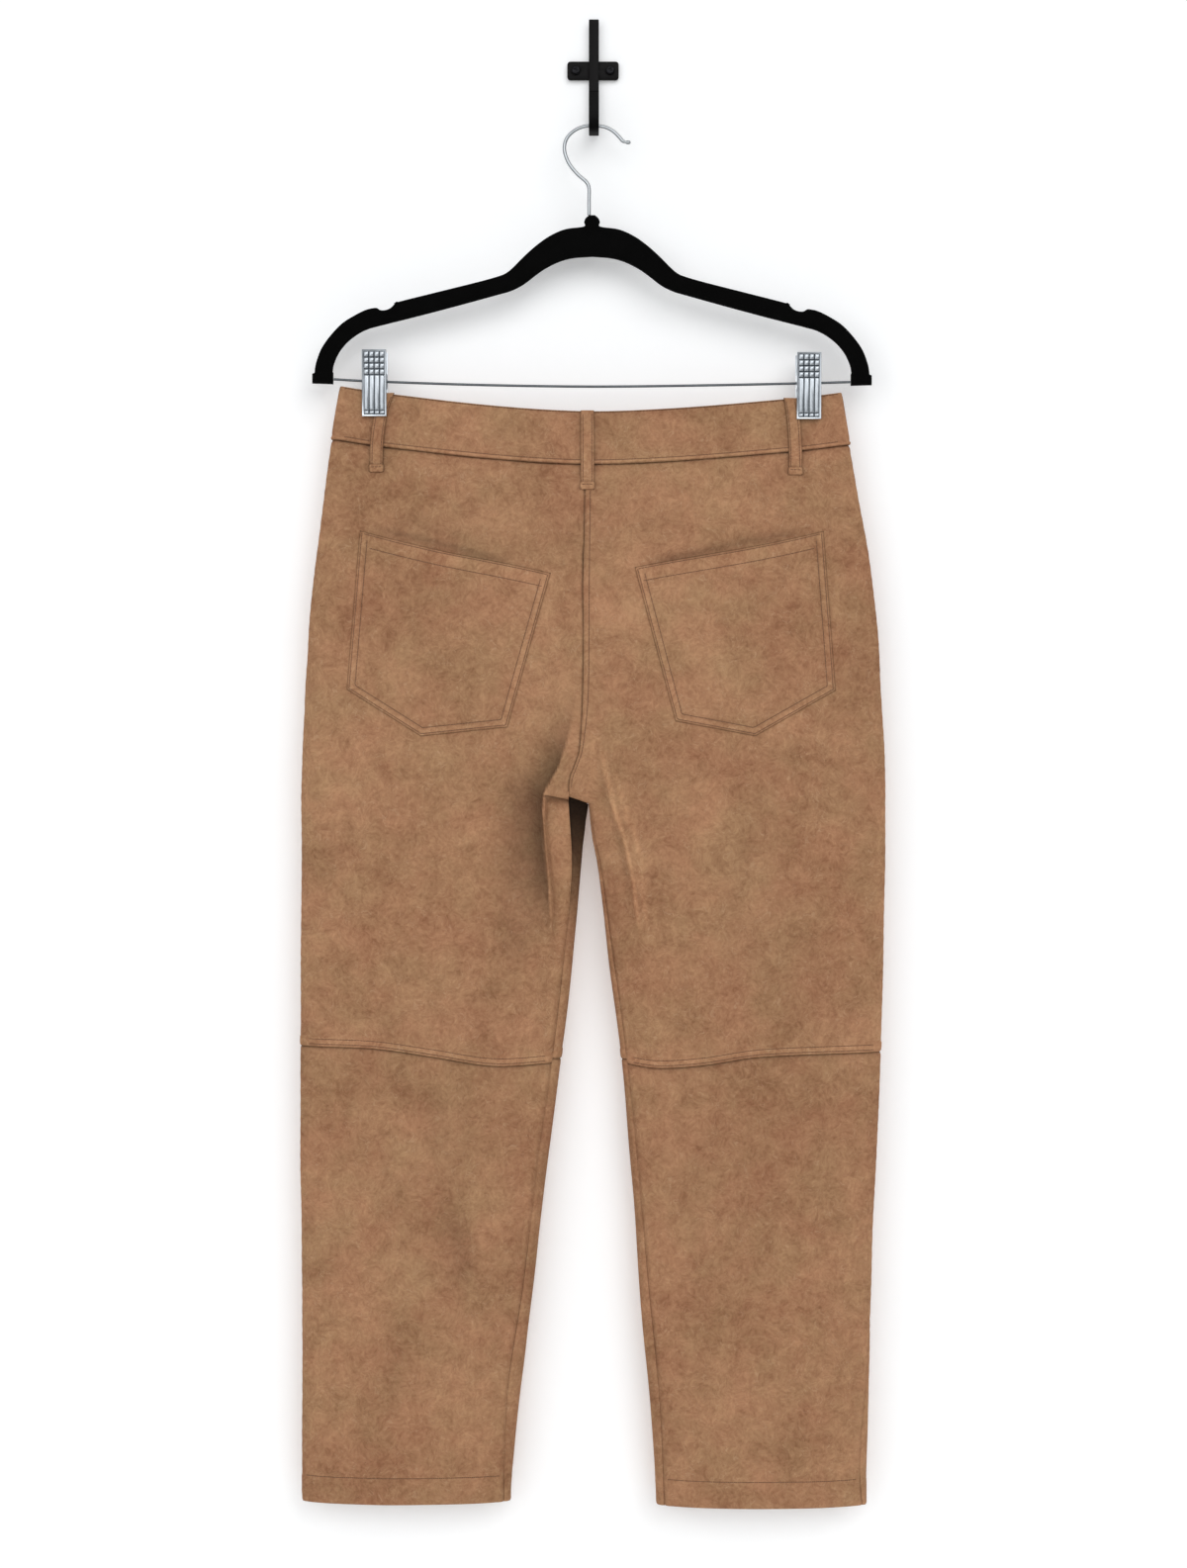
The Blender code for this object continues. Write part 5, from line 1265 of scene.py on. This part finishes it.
def pick(piece, test, kind="FACE"):
    """In edit mode, selects the faces or edges whose middle and normal pass a test, in millimetres."""
    bpy.ops.mesh.select_mode(type=kind)
    bpy.ops.mesh.select_all(action="DESELECT")
    bm = bmesh.from_edit_mesh(piece.data)
    if kind == "FACE":
        for f in bm.faces:
            f.select_set(bool(test(f.calc_center_median() / MM, f.normal)))
    else:
        for e in bm.edges:
            middle = (e.verts[0].co + e.verts[1].co) / 2 / MM
            e.select_set(bool(test(middle, (e.verts[1].co - e.verts[0].co).normalized())))
    bm.select_flush_mode()
    bmesh.update_edit_mesh(piece.data)


def finish_edges(piece, width, segments=2, angle=32):
    """Rounds the sharp edges by a bevel and shades the rest smooth."""
    activate(piece)
    bevel = piece.modifiers.new("rounded edges", "BEVEL")
    bevel.width = width * MM
    bevel.segments = segments
    bevel.limit_method = "ANGLE"
    bevel.angle_limit = math.radians(angle)
    bevel.use_clamp_overlap = True
    bpy.ops.object.modifier_apply(modifier=bevel.name)
    bpy.ops.object.shade_smooth_by_angle(angle=math.radians(40))


def merge_and_turn_out(piece, gap):
    """Merges doubles closer than `gap` metres and turns the faces outwards."""
    activate(piece)
    bpy.ops.object.mode_set(mode="EDIT")
    bpy.ops.mesh.select_all(action="SELECT")
    bpy.ops.mesh.remove_doubles(threshold=gap)
    bpy.ops.mesh.normals_make_consistent(inside=False)
    bpy.ops.object.mode_set(mode="OBJECT")
    bpy.ops.object.shade_smooth_by_angle(angle=math.radians(50))


def softened(node, name, width, look, slot):
    """A copy of a node's mesh, merged, with its sharp edges rounded."""
    mesh = frame["nodes"][node].data.copy()
    mesh.name = name
    made = bpy.data.objects.new(name, mesh)
    bpy.context.scene.collection.objects.link(made)
    mesh.materials.clear()
    mesh.materials.append(look)
    activate(made)
    bpy.ops.object.mode_set(mode="EDIT")
    bpy.ops.mesh.select_all(action="SELECT")
    bpy.ops.mesh.remove_doubles(threshold=0.00001)
    bpy.ops.mesh.dissolve_limited(angle_limit=math.radians(1.0))
    bpy.ops.mesh.normals_make_consistent(inside=False)
    bpy.ops.object.mode_set(mode="OBJECT")
    finish_edges(made, width)
    return settle(made, slot, node)


def smooth_route(points, per_span):
    """A smooth route through the points, with some more in each span."""
    placed = [Vector(p) for p in points]
    ends = [placed[0] * 2 - placed[1], *placed, placed[-1] * 2 - placed[-2]]
    route = []
    for a, b, c, d in zip(ends, ends[1:], ends[2:], ends[3:]):
        for i in range(per_span):
            t = i / per_span
            bend = (2 * a - 5 * b + 4 * c - d) * t**2 + (3 * b - a - 3 * c + d) * t**3
            route.append((2 * b + (c - a) * t + bend) * 0.5)
    return [*route, placed[-1]]


def tube(name, route, radius, look, sizes=None):
    """A round wire along points of (x, y, drop)."""
    curve = bpy.data.curves.new(name, "CURVE")
    curve.dimensions = "3D"
    spline = curve.splines.new("POLY")
    spline.points.add(len(route) - 1)
    for n, (x, y, drop) in enumerate(route):
        spline.points[n].co = (x * MM, y * MM, -drop * MM, 1.0)
        spline.points[n].radius = 1.0 if sizes is None else sizes(n, len(route))
    curve.bevel_depth = radius * MM
    curve.bevel_resolution = 4
    curve.use_fill_caps = True
    curve.materials.append(look)
    made = bpy.data.objects.new(name, curve)
    bpy.context.scene.collection.objects.link(made)
    activate(made)
    bpy.ops.object.convert(target="MESH")
    made = bpy.context.active_object
    made.name = name
    merge_and_turn_out(made, 0.000005)
    return made


def hanger_body(look):
    """The flocked body, cut to its outline from a flat curve with rounded rims."""
    def placed(across, drop):
        return Vector((HANGER_X + across, drop + HANGER_LEAN * (abs(across) + across)))

    upper = [Vector(p) for p in smooth_route([*NECK, *ARM_TOP], 4)]
    lower = [Vector(p) for p in smooth_route(ARM_UNDER, 4)]
    half = [*upper, *(Vector(p) for p in ARM_CAP), *lower[:-1]]
    outline = [placed(-p.x, p.y) for p in half] + [placed(0.0, ARM_UNDER[-1][1])]
    outline += [placed(p.x, p.y) for p in reversed(half)]
    rim = 1.7
    curve = bpy.data.curves.new("hanger_flocked_body", "CURVE")
    curve.dimensions = "2D"
    curve.fill_mode = "BOTH"
    spline = curve.splines.new("POLY")
    spline.points.add(len(outline) - 1)
    for target, p in zip(spline.points, outline):
        target.co = (p.x * MM, -p.y * MM, 0.0, 1.0)
    spline.use_cyclic_u = True
    curve.offset = -rim * MM
    curve.extrude = (HANGER_THICK / 2 - rim) * MM
    curve.bevel_depth = rim * MM
    curve.bevel_resolution = 4
    curve.materials.append(look)
    made = bpy.data.objects.new("hanger_flocked_body", curve)
    bpy.context.scene.collection.objects.link(made)
    made.rotation_euler = (math.pi / 2, 0, 0)
    made.location = (0, HANG_Y * MM, 0)
    activate(made)
    bpy.ops.object.convert(target="MESH")
    made = bpy.context.active_object
    bpy.ops.object.transform_apply(location=True, rotation=True, scale=True)
    merge_and_turn_out(made, 0.00001)
    return settle(made, "flock", "hanger_body")


def clip_face(look, shaded):
    """The stamped face of a clip: a raised frame, sixteen studs in rows of four above four flutes, and
    a short toothed row at the foot. It is made at the origin, facing -Y, its top at z = 0."""
    wide, tall, thick, frame_width, recess = CLIP_WIDTH, CLIP_HEIGHT, 1.0, 1.3, 0.65
    bpy.ops.mesh.primitive_cube_add(size=1, location=(0, -thick / 2 * MM, -tall / 2 * MM))
    bpy.context.active_object.scale = (wide * MM, thick * MM, tall * MM)
    face = named("clip_face", look)
    activate(face)
    bpy.ops.object.mode_set(mode="EDIT")
    pick(face, lambda middle, normal: normal.y > -0.9)
    bpy.ops.mesh.bisect(plane_co=(0, 0, -JAW_BEND * MM), plane_no=(0, 0, 1))
    pick(face, lambda middle, normal: normal.y < -0.9)
    bpy.ops.mesh.inset(thickness=frame_width * MM)
    bpy.ops.transform.translate(value=(0, recess * MM, 0))
    # The recessed field takes the second, darker zinc as painted shade; the raised cells take the first zinc
    # back below.
    face.data.materials.append(shaded)
    face.active_material_index = 1
    bpy.ops.object.material_slot_assign()
    inner = wide - 2 * frame_width
    studs_top, studs_foot, teeth_top = -1.5, -20.0, -(tall - 4.6)
    cuts = [((k * inner / 4 - inner / 2), "x") for k in (1, 2, 3)]
    cuts += [(studs_top + k * (studs_foot - studs_top) / 4, "z") for k in (1, 2, 3)]
    cuts += [(studs_foot, "z"), (teeth_top, "z")]
    for place, axis in cuts:
        pick(face, lambda middle, normal: normal.y < -0.9 and abs(middle.x) < inner / 2 and middle.y > -0.5)
        where = (place * MM, 0, 0) if axis == "x" else (0, 0, place * MM)
        across = (1, 0, 0) if axis == "x" else (0, 0, 1)
        bpy.ops.mesh.bisect(plane_co=where, plane_no=across)

    def floor(middle, normal):
        return normal.y < -0.9 and middle.y > -0.5 and abs(middle.x) < inner / 2 and -tall + 1 < middle.z < -1

    def raise_cells(steps, unshaded_rings=3):
        """Insets the picked cells one by one and lifts them, step by step; the tops and rings round them lose
        the painted shade.
        """
        for inset, lift in steps:
            bpy.ops.mesh.inset(thickness=inset * MM, use_individual=True)
            bpy.ops.transform.translate(value=(0, -lift * MM, 0))
        for _ in range(unshaded_rings):
            bpy.ops.mesh.select_more()
        face.active_material_index = 0
        bpy.ops.object.material_slot_assign()

    pick(face, lambda middle, normal: floor(middle, normal) and middle.z > studs_foot)
    raise_cells(((0.5, 0.0), (0.3, 0.35), (0.5, 0.2), (0.4, 0.08)))
    pick(face, lambda middle, normal: floor(middle, normal) and teeth_top < middle.z < studs_foot)
    raise_cells(((0.35, 0.0), (0.25, 0.35), (0.5, 0.25), (0.5, 0.06)))
    pick(face, lambda middle, normal: floor(middle, normal) and middle.z < teeth_top)
    raise_cells(((0.6, 0.0), (0.4, 0.4)), 1)
    bpy.ops.object.mode_set(mode="OBJECT")
    finish_edges(face, 0.1, 1, 50)
    return face


def clip_copies(face):
    """The clip face on each jaw. Its front is flat, and its back bends where the jaw does."""
    band = BAND_WALL + HALF_GAP + BAND_PROUD + JAW_PAD
    over_loop = band + PATCH_GAP + LOOP_WALL + LOOP_LIFT
    for side, side_name in SIDES.items():
        for facing, jaw_name in ((-1, "front"), (1, "back")):
            grip = HANG_Y - over_loop if facing < 0 else HANG_Y + band
            made = face.copy()
            made.data = face.data.copy()
            made.name = f"clip_{side_name}_{jaw_name}_face"
            bpy.context.scene.collection.objects.link(made)
            place = np.empty(len(made.data.vertices) * 3)
            made.data.vertices.foreach_get("co", place)
            place = place.reshape(-1, 3) / MM
            below = -place[:, 2]
            drop = CLIP_TOP[side] + below
            at_front = place[:, 1] < -0.05
            lean = JAW_LEAN * np.clip(1 - below / np.where(at_front, CLIP_HEIGHT, JAW_BEND), 0, 1)
            y = grip + facing * (lean + JAW_THICK - FACE_SINK - place[:, 1])
            x = CLIP_X[side] - facing * FACE_SHARE * place[:, 0]
            made.data.vertices.foreach_set("co", (np.stack([x, y, -drop], -1) * MM).ravel())
            if facing > 0:
                activate(made)
                bpy.ops.object.mode_set(mode="EDIT")
                bpy.ops.mesh.select_all(action="SELECT")
                bpy.ops.mesh.normals_make_consistent(inside=False)
                bpy.ops.object.mode_set(mode="OBJECT")
            settle(made, "plated_steel")
    bpy.data.objects.remove(face)


def spring(side, side_name, look):
    """A close coil round the bar between a clip's cheeks."""
    turns, wire, radius = 8, 0.5, 2.05
    centre_drop = float(np.interp(CLIP_X[side], *zip(*BAR_ROUTE)))
    count = turns * 18
    route = []
    for n in range(count + 1):
        turn = math.tau * turns * n / count
        x = CLIP_X[side] + (SPRING_LENGTH - 2 * wire) * (n / count - 0.5)
        route.append((x, HANG_Y + radius * math.cos(turn), centre_drop + radius * math.sin(turn)))
    made = tube(f"clip_{side_name}_coil", route, wire, look)
    return settle(made, "plated_steel", f"clip_{side_name}_spring")


def screw(name, x, look):
    """A domed screw head with a cross recess."""
    bpy.ops.mesh.primitive_cylinder_add(
        vertices=32,
        radius=3.45 * MM,
        depth=2.0 * MM,
        location=(x * MM, -4.2 * MM, 0),
        rotation=(math.pi / 2, 0, 0),
    )
    head = named(f"screw_head_{name}", look)
    activate(head)
    bpy.ops.object.mode_set(mode="EDIT")
    pick(head, lambda middle, normal: normal.y < -0.9)
    bpy.ops.mesh.inset(thickness=0.9 * MM)
    bpy.ops.transform.translate(value=(0, -0.35 * MM, 0))
    bpy.ops.object.mode_set(mode="OBJECT")
    for turn in (0.3, 0.3 + math.pi / 2):
        bpy.ops.mesh.primitive_cube_add(size=1, location=(x * MM, -5.4 * MM, 0), rotation=(0, turn, 0))
        bpy.context.active_object.scale = (3.8 * MM, 1.6 * MM, 0.75 * MM)
        slot = named("screw_recess", look)
        activate(head)
        cut = head.modifiers.new("recess", "BOOLEAN")
        cut.operation = "DIFFERENCE"
        cut.object = slot
        cut.solver = "EXACT"
        bpy.ops.object.modifier_apply(modifier=cut.name)
        bpy.data.objects.remove(slot)
    finish_edges(head, 0.15, 2)
    return settle(head, "black_iron", f"wall_screw_{name}")


def button(look):
    """The tack button's cap: a turned rim round a shallow dish."""
    drop = (float(band_top("front", BUTTON_X)) + float(band_bottom("front", BUTTON_X))) / 2
    here, normal = on_panel("front", np.array([BUTTON_X]), np.array([drop]), BAND_WALL)
    normal = Vector(normal[0])
    centre = (Vector(here[0]) + normal * (BAND_PROUD + 0.5)) * MM
    turn = Vector((0, 0, 1)).rotation_difference(normal)
    bpy.ops.mesh.primitive_cylinder_add(vertices=40, radius=(BUTTON_RADIUS - 0.4) * MM, depth=1.6 * MM)
    made = bpy.context.active_object
    made.location = centre + normal * 0.8 * MM
    made.rotation_mode = "QUATERNION"
    made.rotation_quaternion = turn
    made = named("waist_button_cap", look)
    activate(made)
    bpy.ops.object.mode_set(mode="EDIT")
    pick(made, lambda middle, n: n.dot(normal) > 0.9)
    bpy.ops.mesh.inset(thickness=0.8 * MM)
    bpy.ops.transform.translate(value=normal * 0.7 * MM)
    bpy.ops.mesh.inset(thickness=1.3 * MM)
    bpy.ops.mesh.inset(thickness=0.5 * MM)
    bpy.ops.transform.translate(value=normal * -0.5 * MM)
    bpy.ops.mesh.inset(thickness=3.0 * MM)
    bpy.ops.transform.translate(value=normal * 0.45 * MM)
    bpy.ops.object.mode_set(mode="OBJECT")
    finish_edges(made, 0.3, 3, 25)
    return settle(made, "button_metal", "waist_button")


# ---------------------------------------------------------------- build

deselect()
suede = faux_suede()
thread = sewing_thread("spun polyester thread, tan", "735039", "94705a")
rusty_thread = sewing_thread("spun polyester thread, rust brown", "4f3022", "6e4935")
flock, iron, blacked, brass = black_flock(), black_iron(), black_oxide(), aged_brass()
zinc = zinc_plate("bright zinc plate on stamped steel", "a3a9af", "c6ccd2")
# The next zinc is a darker copy, used as painted shade on the recessed floors of the clip faces.
zinc_in_painted_shade = zinc_plate("zinc plate, grimy in the hollows", "262b30", "40474e", 0.5)
bright_wire = zinc_plate("bright zinc plate on drawn wire", "a2a7ab", "c6cacd", 0.3)
dull_wire = zinc_plate("dull zinc plate on drawn wire", "54585c", "73787c", 0.32)

cloth = {}
for side in (LEFT, RIGHT):
    for face in ("back", "front"):
        for span in ("upper", "lower"):
            piece = panel(side, face, span, suede)
            cloth[piece.name.replace("cloth_", "")] = piece
cloth["waistband"] = waistband(suede)
for name, corners in POCKETS.items():
    cloth[f"pocket_{name}"] = pocket(name, corners, suede)
for name in BELT_LOOPS:
    cloth[f"loop_{name}"] = belt_loop(name, suede)
cloth["fly_flap"] = fly_flap(suede)
trees = {name: tree_of(piece) for name, piece in cloth.items()}

knee_lines, hem_lines = [], []
for side, word in SIDES.items():
    for face in ("back", "front"):
        far = -226.0 if side == LEFT else 223.0
        near = (-38.0 if side == LEFT else 32.0) if face == "back" else (-34.0 if side == LEFT else 30.0)
        xs = np.linspace(far, near, 60)
        for above in KNEE_STITCHES:
            line = np.stack([xs, knee_drop(side, face, xs) - above - HALF_GAP], -1)
            knee_lines.append(([trees[f"{face}_upper_{word}"]], face, line))
        far = -228.0 if side == LEFT else 209.0
        near = (-74.0 if side == LEFT else 59.0) if face == "back" else (-70.0 if side == LEFT else 55.0)
        hem = HEM_DROP[side] - HEM_STITCH
        hem_lines.append(([trees[f"{face}_lower_{word}"]], face, ((far, hem), (near, hem))))
stitches("stitches_knee_seams", knee_lines, thread)
stitches("stitches_hems", hem_lines, thread, HEM_PITCH)

drops = np.linspace(343.0, 578.0, 70)
middle_line = np.stack([track(CENTRE_BACK_SEAM, drops) + seat_fell(drops) - 1.2, drops], -1)
stitches("stitches_seat_seam", [([trees["back_upper_right"]], "back", middle_line)], thread)

band_lines, edge_lines = [], []
for face in ("back", "front"):
    xs = np.linspace(-198.0, 195.0, 160)
    seam = np.stack([xs, band_bottom(face, xs) - BAND_STITCH - 0.1], -1)
    band_lines.append(([trees["waistband"]], face, seam))
    edge_lines.append(([trees["waistband"]], face, np.stack([xs, band_top(face, xs) + 1.0], -1)))
stitches("stitches_waistband", band_lines, thread)
stitches("stitches_waistband_edge", edge_lines, rusty_thread)

for name, corners in POCKETS.items():
    tree = [trees[f"pocket_{name}"]]
    lines = []
    for inset in POCKET_STITCHES:
        moved = inset_corners(corners, inset)
        lines.append((tree, "back", [moved[1], moved[2], moved[3], moved[4], moved[0]]))
    for inset, ends in zip(MOUTH_STITCHES, ((0.02, 0.98), (0.05, 0.955))):
        s = np.linspace(*ends, 30)
        outer, inner = np.array(corners[0]), np.array(corners[1])
        line = outer[None] * (1 - s[:, None]) + inner[None] * s[:, None]
        line[:, 1] += top_curve(s) + inset
        lines.append((tree, "back", line))
    stitches(f"stitches_pocket_{name}", lines, thread)

loop_lines = []
for name, (face, top_x, foot_x, foot) in BELT_LOOPS.items():
    top = float(band_top(face, top_x)) + 1.0
    tree = [trees[f"loop_{name}"]]
    for away in (-1, 1):
        t = np.linspace(0.03, 0.9, 12)
        middle = loop_middle(top_x, foot_x, 1 - t)
        line = np.stack([middle + away * (LOOP_WIDTH / 2 - LOOP_STITCH), top + (foot - top) * t], -1)
        loop_lines.append((tree, face, line))
    low = foot - TAB_HEIGHT + 1.6
    loop_lines.append((tree, face, ((foot_x - 4.4, low), (foot_x + 4.4, low))))
stitches("stitches_belt_loops", loop_lines, thread)
fly_x = float(section(np.float64(400.0))["left_in"]) + FLY_LAP
fly_curve = ((5.5 - FLY_WIDTH, 352.0), (5.5 - FLY_WIDTH, 425.0), (-29.0, 446.0), (-20.0, 463.0),
             (-8.0, 473.0), (-2.5, 474.5))  # fmt: skip
fly_line = [(fly_x + across, drop) for across, drop in fly_curve]
stitches("stitches_fly", [([trees["fly_flap"]], "front", fly_line)], thread)

hanger_body(flock)
wire_points = [(p.x, HANG_Y, p.y) for p in smooth_route(WIRE_ROUTE, 6)]


def wire_size(n, count):
    """The wire's tip: a groove, then a small rounded knob."""
    left = count - 1 - n
    return (0.55, 1.05, 1.12, 1.12, 0.72, 0.72)[left] if left < 6 else 1.0


settle(tube("hanger_wire_hook", wire_points, 1.4, bright_wire, wire_size), "plated_steel", "hanger_hook")
bar_points = [(p.x, HANG_Y, p.y) for p in smooth_route(BAR_ROUTE, 5)]
settle(tube("hanger_clip_bar", bar_points, 1.0, dull_wire), "plated_steel", "hanger_bar")
for side, word in SIDES.items():
    for jaw in ("front", "back"):
        softened(f"clip_{word}_{jaw}_jaw", f"clip_{word}_{jaw}_plate", 0.25, zinc, "plated_steel")
    spring(side, word, zinc)
clip_copies(clip_face(zinc, zinc_in_painted_shade))
softened("wall_plate", "wall_hook_plate", 0.45, iron, "black_iron")
softened("wall_strap", "wall_hook_strap", 0.5, iron, "black_iron")
screw("left", -SCREW_X, blacked)
screw("right", SCREW_X, blacked)
button(brass)

# ---------------------------------------------------------------- wall, floor, light, camera


def stage_plane(name, size, location, rotation, colour, glow, one_sided):
    """A plain diffuse plane. A faint glow keeps a pale one pale in soft light, and a one-sided one
    lets the eye through from behind, so the front can be seen."""
    bpy.ops.mesh.primitive_plane_add(size=1, location=location, rotation=rotation)
    made = bpy.context.active_object
    made.name = name
    made.scale = (*size, 1)
    paint = bpy.data.materials.new(name)
    paint.use_nodes = True
    tree = paint.node_tree
    tree.nodes.clear()
    surface = add(tree, "BsdfDiffuse", {"Color": (*colour, 1.0)})
    shine = add(tree, "Emission", {"Strength": glow})
    surface = add(tree, "AddShader", (surface, shine))
    if one_sided:
        clear = add(tree, "BsdfTransparent")
        behind = add(tree, "NewGeometry", output="Backfacing")
        surface = add(tree, "MixShader", (behind, surface, clear))
    tree.links.new(surface, tree.nodes.new("ShaderNodeOutputMaterial").inputs["Surface"])
    made.data.materials.append(paint)
    return made


deselect()
upright, pale_wall, pale_floor = (math.pi / 2, 0, 0), (0.915, 0.925, 0.935), (0.8, 0.8, 0.79)
wall = stage_plane("stage_wall", (3.2, 2.6), (0, 0.0015, -0.1), upright, pale_wall, 0.16, True)
wall.visible_glossy = False
stage_plane("stage_floor", (6, 6), (0, 0, -1.32), (0, 0, 0), pale_floor, 0.0, False)

world = bpy.data.worlds.new("soft studio")
bpy.context.scene.world = world
world.use_nodes = True
sky = world.node_tree.nodes["Background"]
sky.inputs["Color"].default_value = (0.97, 0.985, 1.0, 1)
sky.inputs["Strength"].default_value = 0.30


def sun(name, toward, strength, spread):
    light = bpy.data.lights.new(name, "SUN")
    light.energy = strength
    light.angle = spread
    made = bpy.data.objects.new(name, light)
    bpy.context.scene.collection.objects.link(made)
    made.rotation_mode = "QUATERNION"
    made.rotation_quaternion = Vector((0, 0, 1)).rotation_difference(Vector(toward))
    return made


def let_through(light, blocker):
    """The blocker throws no shadow in this light."""
    group = bpy.data.collections.new("let through")
    group.objects.link(blocker)
    group.collection_objects[0].light_linking.link_state = "EXCLUDE"
    light.light_linking.blocker_collection = group


sun("key", (0.34, -1.0, 0.5), 1.12, 0.8)
sun("fill", (-0.42, -1.0, 0.2), 0.94, 1.0)
let_through(sun("light from behind", (-0.5, 1.0, 0.4), 0.9, 0.9), wall)

camera_data = bpy.data.cameras.new("camera")
camera_data.sensor_fit = "VERTICAL"
camera_data.sensor_height = 36.0
camera_data.lens = 63.3
camera_data.clip_start = 0.05
camera = bpy.data.objects.new("camera", camera_data)
bpy.context.scene.collection.objects.link(camera)
camera.location = (0.0004, -2.226, -0.5752)
camera.rotation_euler = (math.pi / 2, 0, 0)
bpy.context.scene.camera = camera
bpy.context.scene.view_settings.view_transform = "Standard"
